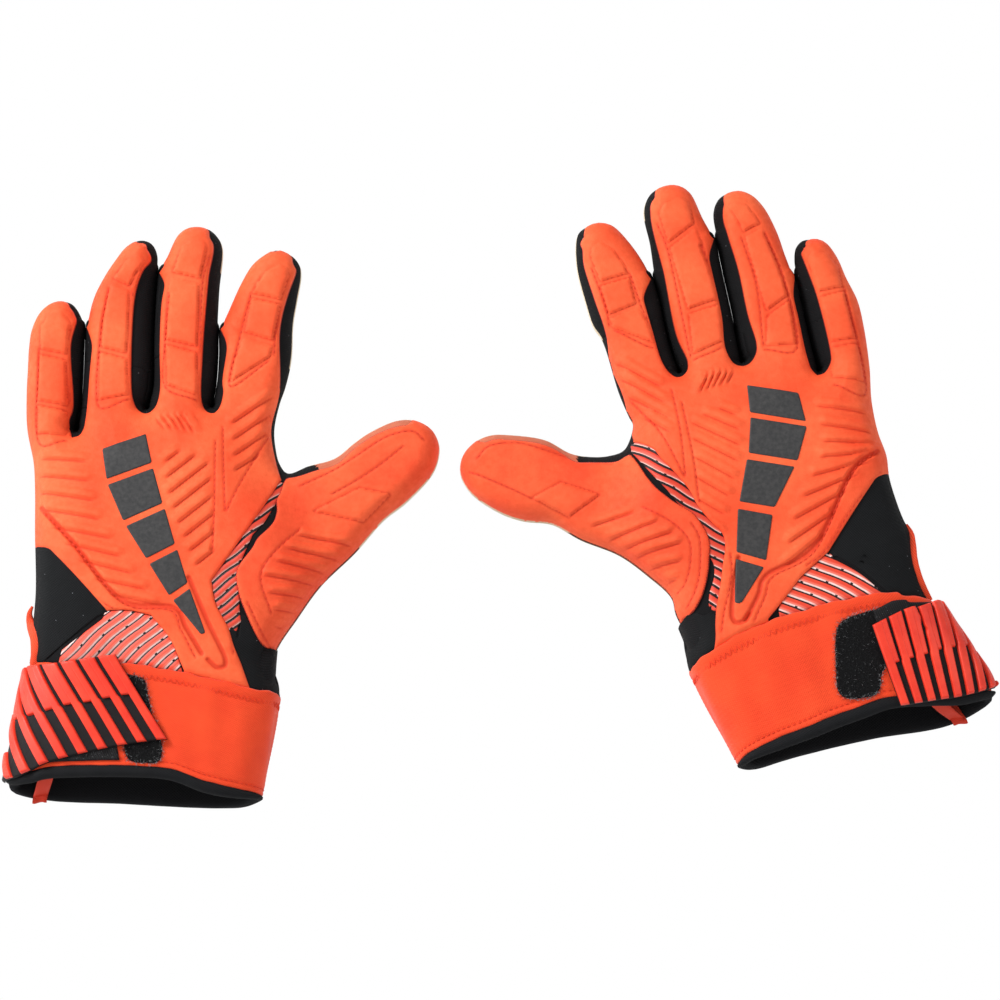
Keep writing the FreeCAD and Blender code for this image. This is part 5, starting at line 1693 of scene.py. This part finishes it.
def fibre(base, along, across, normal, length, radius):
    """Vertices of a small bowed hair of three sides."""
    verts = []
    for s, (run, rise) in enumerate(FIBRE_BOW):
        centre = base + along * run * length + normal * rise * length * 0.85
        for q in range(3):
            angle = q * 2.0944
            lean = math.sin(angle) * 0.7
            offset = across * math.cos(angle) + normal * lean + along * lean
            verts.append(centre + offset * radius * (1 - 0.22 * s))
    return np.array(verts)


def build_patch(glove, cuff):
    outline = smooth([(a, t * PATCH_LENGTH) for a, t in PATCH[glove]], 0.8)
    line = Line(outline)
    points, faces, boundary = triangulate(line, [0.25, 0.6, 1.1], 0.3, 0.75, 1.5)
    dist = line.dist(points)
    dist[boundary] = 0
    pile = RNG.normal(0, 0.07, len(points)) * (dist > 0.4)
    height = 0.15 + 0.85 * round_edge(dist, 1.0) + pile
    a, t = points[:, 0], points[:, 1] / PATCH_LENGTH
    verts = np.vstack([cuff.raised(a, t, height[:, None]), cuff.point(a, t)])
    edges = [(face[i], face[(i + 1) % 3]) for face in faces.tolist() for i in range(3)]
    all_faces, _ = shell_faces(faces.tolist(), len(points), edges)
    ob = make(glove + "_loop_patch_pile", verts, outward(verts, all_faces), ["black_loop"])
    place(ob, glove + "_hand", "black_loop", glove + "_loop_patch")
    build_fibres(glove, cuff, outline)


def build_fibres(glove, cuff, outline):
    """Small looped hairs on the patch, longer at its cut edge; the edge hairs and one in nine of
    the others are painted pale, a painted highlight on the black pile.
    """
    pale, dark = Batch(), Batch()
    roots = RNG.uniform(outline.min(0), outline.max(0), (FIBRES * 3, 2))
    roots = roots[inside(roots, outline)][:FIBRES]
    edge_count = FIBRES // 2
    edge_roots = outline[RNG.integers(0, len(outline), edge_count)]
    roots = np.vstack([roots, edge_roots + RNG.normal(0, 0.25, (edge_count, 2))])
    points = cuff.point(roots[:, 0], roots[:, 1] / PATCH_LENGTH)
    normals = cuff.normal(roots[:, 0], roots[:, 1] / PATCH_LENGTH)
    directions = RNG.normal(0, 1, (len(roots), 3))
    for i, (point, normal, along) in enumerate(zip(points, normals, directions)):
        on_pile = i < FIBRES
        length = RNG.uniform(0.8, 1.5) if on_pile else RNG.uniform(1.1, 2.1)
        along = along - normal * (along @ normal)
        along /= max(np.linalg.norm(along), 1e-6)
        verts = fibre(point + normal * (0.75 if on_pile else 0.4), along,
                      np.cross(normal, along), normal, length, 0.085 if on_pile else 0.11)
        # the edge hairs and every ninth pile hair go to the pale batch, painted highlight
        (dark if on_pile and i % 9 else pale).add(verts, FIBRE_FACES)
    for batch, name, material in ((pale, "_loop_fringe", "fibre"),
                                  (dark, "_loop_fibres", "fibre_dark")):
        place(batch.build(glove + name, material), glove + "_hand", "black_loop")


# ------------------------------------------------------------------ edge binding
def sweep(path, width, height, sides):
    """Flattened closed tube along a path with a width and height per point."""
    tangent = np.gradient(path, axis=0)
    tangent /= np.maximum(np.linalg.norm(tangent, axis=1), 1e-9)[:, None]
    across = np.cross(np.array([0, 0, 1.0])[None], tangent)
    across /= np.maximum(np.linalg.norm(across, axis=1), 1e-9)[:, None]
    up = np.cross(tangent, across)
    angle = 2 * math.pi * np.arange(sides) / sides
    x, z = (np.sign(f) * np.abs(f) ** 0.75 for f in (np.cos(angle), np.sin(angle)))
    rings_ = (path[:, None] + across[:, None] * (width[:, None] / 2 * x[None])[..., None]
              + up[:, None] * (height[:, None] / 2 * z[None])[..., None])
    verts = rings_.reshape(-1, 3)
    faces = grid_faces(len(path), sides, False, True)
    faces.append(tuple(range(sides)))
    faces.append(tuple((len(path) - 1) * sides + k for k in range(sides))[::-1])
    return verts, outward(verts, faces)


def build_binding(glove):
    """Orange strip along the little-finger edge, above the band."""
    path, widths = BINDING[glove]
    points = np.array(path, float)
    top, _ = hull(glove, points)
    top = np.where(inside(points, EDGE[glove].points), top, MID_Z + 1.5)
    centre = catmull(np.c_[points, top + 0.55], lambda length: max(1, int(length)))
    width = np.interp(np.linspace(0, 1, len(centre)), np.linspace(0, 1, len(widths)), widths)
    verts, faces = sweep(centre, width, np.maximum(width * 0.62, 1.2), 14)
    place(make(glove + "_edge_binding", verts, faces, ["binding"]), glove + "_hand",
          "orange_elastic")


# ------------------------------------------------------------------ materials
def srgb(*rgb):
    """Linear colour with alpha from 0-255 display values."""
    return tuple(((c / 255 + 0.055) / 1.055) ** 2.4 if c / 255 > 0.04045 else c / 255 / 12.92
                 for c in rgb) + (1.0,)


class Shader:
    """Small node builder. Patterns follow the rest position, so scales are per millimetre."""

    def __init__(self, name):
        material = bpy.data.materials.new(name)
        material.use_nodes = True
        self.tree = material.node_tree
        self.tree.nodes.clear()
        output = self.node("ShaderNodeOutputMaterial")
        self.surface = self.node("ShaderNodeBsdfPrincipled")
        self.tree.links.new(self.surface.outputs[0], output.inputs[0])
        self.rest = self.attribute("rest", "Vector")
        MATERIALS[name] = material

    def node(self, kind, **settings):
        node = self.tree.nodes.new(kind)
        for key, value in settings.items():
            setattr(node, key, value)
        return node

    def put(self, socket, value):
        if isinstance(value, bpy.types.NodeSocket):
            self.tree.links.new(value, socket)
        else:
            socket.default_value = value

    def attribute(self, name, output="Fac"):
        return self.node("ShaderNodeAttribute", attribute_name=name).outputs[output]

    def math(self, operation, a, b=None):
        node = self.node("ShaderNodeMath", operation=operation)
        self.put(node.inputs[0], a)
        if b is not None:
            self.put(node.inputs[1], b)
        return node.outputs[0]

    def add(self, a, b):
        return self.math("ADD", a, b)

    def times(self, a, b):
        return self.math("MULTIPLY", a, b)

    def wave(self, value, rate):
        """Sine of value times rate."""
        return self.math("SINE", self.times(value, rate))

    def noise(self, scale, detail=3.0, rough=0.55, distortion=0.0):
        node = self.node("ShaderNodeTexNoise")
        self.put(node.inputs["Vector"], self.rest)
        node.inputs["Scale"].default_value = scale
        node.inputs["Detail"].default_value = detail
        node.inputs["Roughness"].default_value = rough
        node.inputs["Distortion"].default_value = distortion
        return node.outputs["Fac"]

    def cells(self, scale):
        node = self.node("ShaderNodeTexVoronoi")
        self.put(node.inputs["Vector"], self.rest)
        node.inputs["Scale"].default_value = scale
        return node.outputs["Distance"]

    def xyz(self):
        node = self.node("ShaderNodeSeparateXYZ")
        self.put(node.inputs[0], self.rest)
        return node.outputs

    def diagonal(self, rate):
        """Wave along x + y + z."""
        x, y, z = self.xyz()
        return self.wave(self.add(self.add(x, y), z), rate)

    def remap(self, value, span, to):
        node = self.node("ShaderNodeMapRange")
        self.put(node.inputs["Value"], value)
        for key, number in zip(("From Min", "From Max", "To Min", "To Max"), span + to):
            node.inputs[key].default_value = number
        return node.outputs[0]

    def mix(self, factor, a, b):
        node = self.node("ShaderNodeMix", data_type="RGBA")
        self.put(node.inputs["Factor"], factor)
        self.put(node.inputs[6], a)
        self.put(node.inputs[7], b)
        return node.outputs[2]

    def tint(self, color, other, value, span, amount=1.0):
        """Mixes other into color, by 0 to amount as value crosses span."""
        return self.mix(self.remap(value, span, (0.0, amount)), color, other)

    def ramp(self, value, stops):
        node = self.node("ShaderNodeValToRGB")
        self.put(node.inputs[0], value)
        elements = node.color_ramp.elements
        while len(elements) > 1:
            elements.remove(elements[-1])
        elements[0].position, elements[0].color = stops[0]
        for position, color in stops[1:]:
            elements.new(position).color = color
        return node.outputs[0]

    def bump(self, height, depth, strength, below=None):
        """Bump of a depth in mm, laid over the normal below it."""
        node = self.node("ShaderNodeBump")
        node.inputs["Strength"].default_value = strength
        node.inputs["Distance"].default_value = depth / 1000.0
        self.put(node.inputs["Height"], height)
        if below is not None:
            self.put(node.inputs["Normal"], below)
        return node.outputs[0]

    def finish(self, color, rough, normal=None, **inputs):
        """Further Principled inputs are given with underscores for spaces."""
        self.put(self.surface.inputs["Base Color"], color)
        self.put(self.surface.inputs["Roughness"], rough)
        if normal is not None:
            self.put(self.surface.inputs["Normal"], normal)
        for key, value in inputs.items():
            self.surface.inputs[key.replace("_", " ")].default_value = value


def foam(name, base, light, dark):
    m = Shader(name)
    mottle = m.noise(scale=0.35, detail=4.0, rough=0.6)
    relief = m.attribute("cav")
    color = m.tint(base, light, m.noise(scale=0.035, detail=2.0, rough=0.5), span=(0.3, 0.7))
    color = m.tint(color, dark, mottle, span=(0.35, 0.75), amount=0.28)
    # painted shade: the foam is darkened where its relief (cav) dips, in grooves, seams and the
    # ditches beside blocks and ribs
    color = m.tint(color, dark, relief, span=(-0.02, -0.55), amount=0.75)
    # painted highlight: the raised blocks and ribs are painted lighter
    color = m.tint(color, light, relief, span=(0.5, 1.6), amount=0.35)
    scuffs = m.noise(scale=0.9, detail=6.0, rough=0.7, distortion=0.6)
    color = m.tint(color, srgb(255, 160, 126), scuffs, span=(0.63, 0.82), amount=0.22)
    grain = m.add(m.times(m.cells(scale=4.2), 0.55), m.noise(scale=7.0, rough=0.6))
    normal = m.bump(grain, depth=0.16, strength=0.55)
    normal = m.bump(m.noise(scale=1.1, rough=0.5), depth=0.35, strength=0.35, below=normal)
    m.finish(color, m.remap(mottle, span=(0.3, 0.7), to=(0.62, 0.80)), normal,
             Specular_IOR_Level=0.32)


def foam_edge():
    # painted shade: dark red-orange for the outermost ring of the foam panels, standing for the
    # shadow line at their edge
    m = Shader("edge_shade")
    m.finish(m.mix(m.noise(scale=1.2), srgb(140, 36, 22), srgb(190, 52, 30)), 0.8,
             m.bump(m.noise(scale=6.0), depth=0.1, strength=0.5))


def weave(name, base, light, period, rough=0.86, depth=0.16, specks=True, specular=0.12):
    m = Shader(name)
    x, y, z = m.xyz()
    rate = 2 * math.pi / period
    threads = m.times(m.wave(x, rate), m.wave(m.add(y, m.times(z, 0.7)), rate))
    color = m.tint(base, light, threads, span=(-1, 1), amount=0.8)
    color = m.tint(color, base, m.noise(scale=0.12), span=(0.35, 0.7), amount=0.4)
    if specks:
        color = m.tint(color, srgb(150, 152, 158), m.cells(scale=0.22), span=(0.05, 0.035),
                       amount=0.75)
    fine = m.noise(scale=3.2, detail=4.0, rough=0.65)
    m.finish(color, rough, m.bump(m.add(threads, m.times(fine, 0.8)), depth, strength=0.6),
             Specular_IOR_Level=specular)


def lining_knit():
    m = Shader("lining")
    x, y, z = m.xyz()
    threads = m.times(m.wave(x, 4.2), m.wave(m.add(y, z), 5.2))
    color = m.tint(srgb(14, 14, 15), srgb(33, 33, 35), threads, span=(-1, 1))
    color = m.mix(m.times(m.attribute("cav"), 0.6), color, srgb(30, 31, 33))
    m.finish(color, 0.88,
             m.bump(m.add(threads, m.noise(scale=3.0)), depth=0.18, strength=0.6),
             Specular_IOR_Level=0.12)


def cream_latex():
    m = Shader("cream_latex")
    patches = m.noise(scale=0.08, detail=4.0, rough=0.6)
    color = m.tint(srgb(226, 211, 184), srgb(205, 186, 152), patches, span=(0.3, 0.7))
    color = m.tint(color, srgb(178, 154, 122), m.noise(scale=0.5, detail=5.0, rough=0.7),
                   span=(0.55, 0.8), amount=0.4)
    # painted shade: the latex is darkened along the palm creases, from their depth in cav
    color = m.tint(color, srgb(160, 134, 100), m.attribute("cav"), span=(-0.05, -0.7),
                   amount=0.6)
    grain = m.add(m.cells(scale=1.6), m.times(m.noise(scale=4.0), 0.8))
    m.finish(color, m.remap(patches, span=(0.3, 0.7), to=(0.55, 0.72)),
             m.bump(grain, depth=0.2, strength=0.5), Specular_IOR_Level=0.35)


def thumb_wrap():
    m = Shader("thumb_wrap")
    color = m.mix(m.noise(scale=0.4, detail=4.0), srgb(206, 110, 76), srgb(184, 92, 62))
    grain = m.add(m.cells(scale=2.0), m.noise(scale=4.0))
    m.finish(color, 0.7, m.bump(grain, depth=0.18, strength=0.5))


def stripes(name, red, black, stops, rough, wear, line_width):
    """Stripes across the phase stored on the mesh; stops are (part of a stripe, colour)."""
    m = Shader(name)
    phase = m.attribute("ph")
    wobble = m.times(m.math("SUBTRACT", m.noise(scale=0.8, detail=2.0), 0.5), 0.05)
    part = m.math("FRACT", m.add(m.add(m.math("FRACT", phase), wobble), 1.0))
    color = m.ramp(part, stops)
    color = m.tint(color, red, m.noise(scale=0.16), span=(0.35, 0.72), amount=wear)
    from_line = m.math("SUBTRACT", m.math("FRACT", m.add(part, 0.46)), 0.5)
    half = 0.5 * line_width
    dark = m.remap(m.math("ABSOLUTE", from_line), span=(half, half + 0.03), to=(1.0, 0.0))
    color = m.mix(dark, color, black)
    # small dark ticks beside the lines, shifted from stripe to stripe
    shift = m.times(m.math("FLOOR", phase), 0.381)
    place_along = m.math("FRACT", m.add(m.times(m.attribute("pl"), 0.058), shift))
    tick = m.times(m.math("LESS_THAN", place_along, 0.075),
                   m.math("GREATER_THAN", part, 0.80))
    color = m.mix(tick, color, black)
    groove = m.times(m.math("LESS_THAN", part, 0.11), 0.6)
    height = m.math("SUBTRACT", m.wave(part, math.pi), groove)
    normal = m.bump(height, depth=0.35, strength=0.5)
    normal = m.bump(m.noise(scale=5.0), depth=0.08, strength=0.4, below=normal)
    m.finish(color, rough, normal, Specular_IOR_Level=0.36)


def orange_elastic():
    m = Shader("orange_elastic")
    rib = m.wave(m.attribute("ax"), 2 * math.pi / 1.05)
    knit = m.wave(m.attribute("rd"), 2 * math.pi / 1.3)
    loops = m.times(rib, knit)
    color = m.tint(srgb(226, 54, 17), srgb(246, 72, 27), loops, span=(-1, 1))
    color = m.tint(color, srgb(250, 80, 32), m.noise(scale=0.05), span=(0.35, 0.68),
                   amount=0.6)
    color = m.tint(color, srgb(196, 44, 20), m.noise(scale=0.6, detail=5.0, rough=0.7),
                   span=(0.6, 0.8), amount=0.3)
    height = m.add(loops, m.times(m.noise(scale=3.0), 0.7))
    m.finish(color, 0.74, m.bump(height, depth=0.15, strength=0.5), Sheen_Weight=0.12,
             Specular_IOR_Level=0.3)


def ribbon(name, dark, light):
    m = Shader(name)
    threads = m.diagonal(rate=5.5)
    m.finish(m.tint(dark, light, threads, span=(-1, 1)), 0.7,
             m.bump(m.add(threads, m.noise(scale=3.0)), depth=0.14, strength=0.5),
             Specular_IOR_Level=0.3)


def black_loop():
    m = Shader("black_loop")
    color = m.tint(srgb(10, 10, 11), srgb(40, 41, 43),
                   m.noise(scale=2.6, detail=5.0, rough=0.75), span=(0.5, 0.75))
    pile = m.noise(scale=3.5, detail=5.0, rough=0.8)
    m.finish(color, 0.85, m.bump(pile, depth=0.5, strength=0.9), Specular_IOR_Level=0.15)


def fibres():
    # painted highlight: the black fibres of the loop patch painted light grey where they catch the
    # light
    m = Shader("fibre")
    m.finish(m.tint(srgb(20, 21, 22), srgb(190, 193, 196), m.noise(scale=0.9, detail=2.0),
                    span=(0.45, 0.7)), 0.45, Specular_IOR_Level=0.5)
    m = Shader("fibre_dark")
    m.finish(m.mix(m.noise(scale=0.9, detail=2.0), srgb(12, 12, 13), srgb(52, 53, 55)), 0.6,
             Specular_IOR_Level=0.25)


def black_elastic():
    m = Shader("black_elastic")
    x, y, _ = m.xyz()
    threads = m.wave(m.add(x, m.times(y, 0.5)), 6.0)
    color = m.tint(srgb(13, 13, 14), srgb(32, 32, 34), threads, span=(-1, 1))
    color = m.tint(color, srgb(120, 122, 126), m.cells(scale=0.9), span=(0.16, 0.1),
                   amount=0.7)
    m.finish(color, 0.65, m.bump(m.add(threads, m.noise(scale=3.0)), depth=0.2, strength=0.6),
             Specular_IOR_Level=0.2)


def red_rubber():
    m = Shader("red_rubber")
    color = m.tint(srgb(224, 46, 26), srgb(243, 66, 40), m.noise(scale=0.09), span=(0.3, 0.7))
    color = m.tint(color, srgb(196, 40, 26), m.noise(scale=0.8, detail=5.0, rough=0.7),
                   span=(0.6, 0.85), amount=0.3)
    rough = m.remap(m.noise(scale=0.7, detail=5.0, rough=0.7), span=(0.3, 0.75),
                    to=(0.42, 0.54))
    m.finish(color, rough, m.bump(m.noise(scale=0.9, rough=0.5), depth=0.08, strength=0.25),
             Specular_IOR_Level=0.38, Coat_Weight=0.05, Coat_Roughness=0.35)


def grey_film():
    m = Shader("grey_film")
    color = m.tint(srgb(50, 50, 51), srgb(65, 64, 64), m.noise(scale=0.5, detail=4.0),
                   span=(0.35, 0.7))
    grain = m.add(m.noise(scale=2.5, detail=4.0), m.cells(scale=3.0))
    m.finish(color, m.remap(m.noise(scale=0.8, detail=4.0), span=(0.3, 0.7), to=(0.52, 0.66)),
             m.bump(grain, depth=0.08, strength=0.4), Specular_IOR_Level=0.3)


def thread(name, dark, light):
    m = Shader(name)
    twist = m.diagonal(rate=14.0)
    m.finish(m.tint(dark, light, twist, span=(-1, 1)), 0.6,
             m.bump(twist, depth=0.08, strength=0.5), Specular_IOR_Level=0.35)


def build_materials():
    foam("orange_foam", srgb(247, 80, 38), srgb(255, 107, 59), srgb(212, 50, 20))
    # painted shade: the thumb panel's foam is a slightly darker, redder copy of the back foam
    foam("orange_foam_thumb", srgb(243, 77, 38), srgb(252, 103, 56), srgb(205, 46, 21))
    foam_edge()
    weave("black_textile", srgb(17, 17, 18), srgb(33, 33, 35), period=0.95)
    weave("black_side", srgb(19, 20, 21), srgb(32, 33, 35), period=1.25, rough=0.84,
          depth=0.14)
    weave("tab_black", srgb(18, 16, 17), srgb(32, 27, 29), period=0.8, rough=0.6, depth=0.1,
          specks=False, specular=0.2)
    lining_knit()
    cream_latex()
    thumb_wrap()
    red, pink, white = srgb(230, 70, 46), srgb(241, 124, 106), srgb(253, 226, 220)
    stripes("striped_print", red, srgb(26, 10, 10),
            [(0.10, red), (0.46, red), (0.62, pink), (0.74, pink), (0.79, white),
             (0.95, white)], rough=0.48, wear=0.32, line_width=0.15)
    pale = srgb(248, 214, 206)
    stripes("striped_web", srgb(212, 56, 36), srgb(24, 10, 10),
            [(0.10, srgb(208, 54, 36)), (0.62, srgb(218, 72, 50)),
             (0.80, srgb(232, 128, 112)), (0.85, pale), (0.95, pale)],
            rough=0.50, wear=0.3, line_width=0.27)
    orange_elastic()
    ribbon("binding", srgb(226, 60, 30), srgb(250, 88, 48))
    ribbon("ribbon", srgb(186, 40, 20), srgb(222, 62, 34))
    black_loop()
    fibres()
    black_elastic()
    red_rubber()
    grey_film()
    thread("thread_orange", srgb(206, 48, 24), srgb(232, 70, 38))
    thread("thread_red", srgb(212, 48, 20), srgb(240, 74, 38))
    # two spare colours, on no piece yet
    thread("thread_black", srgb(20, 20, 22), srgb(48, 48, 50))
    thread("piping", srgb(222, 215, 206), srgb(250, 247, 243))


# ------------------------------------------------------------------ build
def build_glove(glove):
    build_body(glove)
    build_panels(glove)
    for seams, host in ((BACK_SEAMS, "back"), (THUMB_SEAMS, "thumb")):
        for path in seams[glove]:
            stitch_line(glove, path, host)
    cuff = Cuff(glove)
    build_band(glove, cuff)
    build_band_seams(glove, cuff)
    build_lining(glove, cuff)
    build_pull_loop(glove, cuff)
    build_tab_carrier(glove, cuff)
    build_tab_bars(glove, cuff)
    build_strap_elastic(glove, cuff)
    build_patch(glove, cuff)
    build_binding(glove)


def attach(ob, glove, reg):
    """Rides on the hand; the pieces of a digit only have their transform baked."""
    hand = glove + "_hand"
    if reg == 0:
        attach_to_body(ob, hand)
        return

    if reg % 2:
        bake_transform(ob)
    else:
        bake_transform(ob)


# endings of the CAD pieces each kind of panel stands in for, on the hand and on a digit
HAND_CAD = {"shell": ("_palm_panel", "_side_gussets"), "back": ("_back_panel",),
            "wristprint": ("_grip_print",), "motif0": ("_back_motif",)}
DIGIT_CAD = {"shell": ("_stall",), "back": ("_back",), "thumb": ("_back",)}


def attach_pieces():
    for (glove, reg), pieces in PIECES.items():
        prefix, table = glove, HAND_CAD
        if reg:
            half = "base" if reg % 2 else "tip"
            prefix, table = "%s_%s_%s" % (glove, DIGITS[(reg - 1) // 2], half), DIGIT_CAD
        for ob, kind in pieces:
            attach(ob, glove, reg)
            if kind in table:
                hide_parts(*(prefix + ending for ending in table[kind]))


build_materials()
for glove in GLOVES:
    build_glove(glove)
build_foam_stitches()
attach_pieces()

# ------------------------------------------------------------------ floor, light and camera, metres
FLOOR_HALF, FLOOR_Z = 6, -0.17
scene = bpy.context.scene


def build_floor():
    """Floor that is pure white to the camera and a grey diffuse surface to the light."""
    mesh = bpy.data.meshes.new("floor")
    corners = [(x * FLOOR_HALF, y * FLOOR_HALF, FLOOR_Z)
               for x, y in ((-1, -1), (1, -1), (1, 1), (-1, 1))]
    mesh.from_pydata(corners, [], [(0, 1, 2, 3)])
    floor = bpy.data.objects.new("floor", mesh)
    scene.collection.objects.link(floor)
    material = bpy.data.materials.new("floor_white")
    material.use_nodes = True
    nodes, links = material.node_tree.nodes, material.node_tree.links
    nodes.clear()
    output = nodes.new("ShaderNodeOutputMaterial")
    diffuse = nodes.new("ShaderNodeBsdfDiffuse")
    diffuse.inputs["Color"].default_value = (0.78, 0.78, 0.78, 1)
    glow = nodes.new("ShaderNodeEmission")
    glow.inputs["Color"].default_value = (1, 1, 1, 1)
    glow.inputs["Strength"].default_value = 1.0
    path = nodes.new("ShaderNodeLightPath")
    mix = nodes.new("ShaderNodeMixShader")
    links.new(path.outputs["Is Camera Ray"], mix.inputs[0])
    links.new(diffuse.outputs[0], mix.inputs[1])
    links.new(glow.outputs[0], mix.inputs[2])
    links.new(mix.outputs[0], output.inputs[0])
    mesh.materials.append(material)


def aim(ob, target):
    ob.rotation_mode = "QUATERNION"
    ob.rotation_quaternion = (target - ob.location).to_track_quat("-Z", "Y")


def area_light(name, location, size, power):
    """White square light aimed at the origin."""
    light = bpy.data.lights.new(name, "AREA")
    light.shape, light.size, light.energy, light.color = "SQUARE", size, power, (1, 1, 1)
    ob = bpy.data.objects.new(name, light)
    ob.location = location
    aim(ob, Vector((0, 0, 0)))
    scene.collection.objects.link(ob)


def build_world():
    """White background, dimmer as a light than the camera sees it."""
    world = bpy.data.worlds.new("studio")
    world.use_nodes = True
    nodes, links = world.node_tree.nodes, world.node_tree.links
    background = nodes["Background"]
    background.inputs["Color"].default_value = (1, 1, 1, 1)
    path = nodes.new("ShaderNodeLightPath")
    strength = nodes.new("ShaderNodeMapRange")
    strength.inputs["To Min"].default_value = 0.42
    strength.inputs["To Max"].default_value = 1.0
    links.new(path.outputs["Is Camera Ray"], strength.inputs["Value"])
    links.new(strength.outputs[0], background.inputs["Strength"])
    scene.world = world


CAMERA_TARGET = Vector((-0.000488, -0.0015515, 0))
CAMERA_ELEVATION = math.radians(80)     # seen from the cuff side
CAMERA_DISTANCE = 2.0
VIEW_HALF_WIDTH = 0.2375                # half the width in view at the target


def build_camera():
    camera = bpy.data.cameras.new("camera")
    ob = bpy.data.objects.new("camera", camera)
    scene.collection.objects.link(ob)
    ob.location = CAMERA_TARGET + Vector((0, -CAMERA_DISTANCE * math.cos(CAMERA_ELEVATION),
                                          CAMERA_DISTANCE * math.sin(CAMERA_ELEVATION)))
    aim(ob, CAMERA_TARGET)
    camera.sensor_width = 36.0
    camera.lens = camera.sensor_width / 2 / (VIEW_HALF_WIDTH / CAMERA_DISTANCE)
    camera.clip_start, camera.clip_end = 0.05, 20
    scene.camera = ob


build_floor()
area_light("key", (-1.25, 0.95, 1.15), size=0.55, power=34)
area_light("fill", (1.5, 0.3, 1.5), size=1.3, power=10)
area_light("rim", (-1.5, -0.1, 0.42), size=0.7, power=9)
area_light("front", (0.1, -1.7, 0.9), size=1.1, power=8)
build_world()
scene.view_settings.view_transform = "Standard"
scene.view_settings.look = "None"
scene.view_settings.exposure = 0.0
build_camera()

bpy.context.view_layer.update()
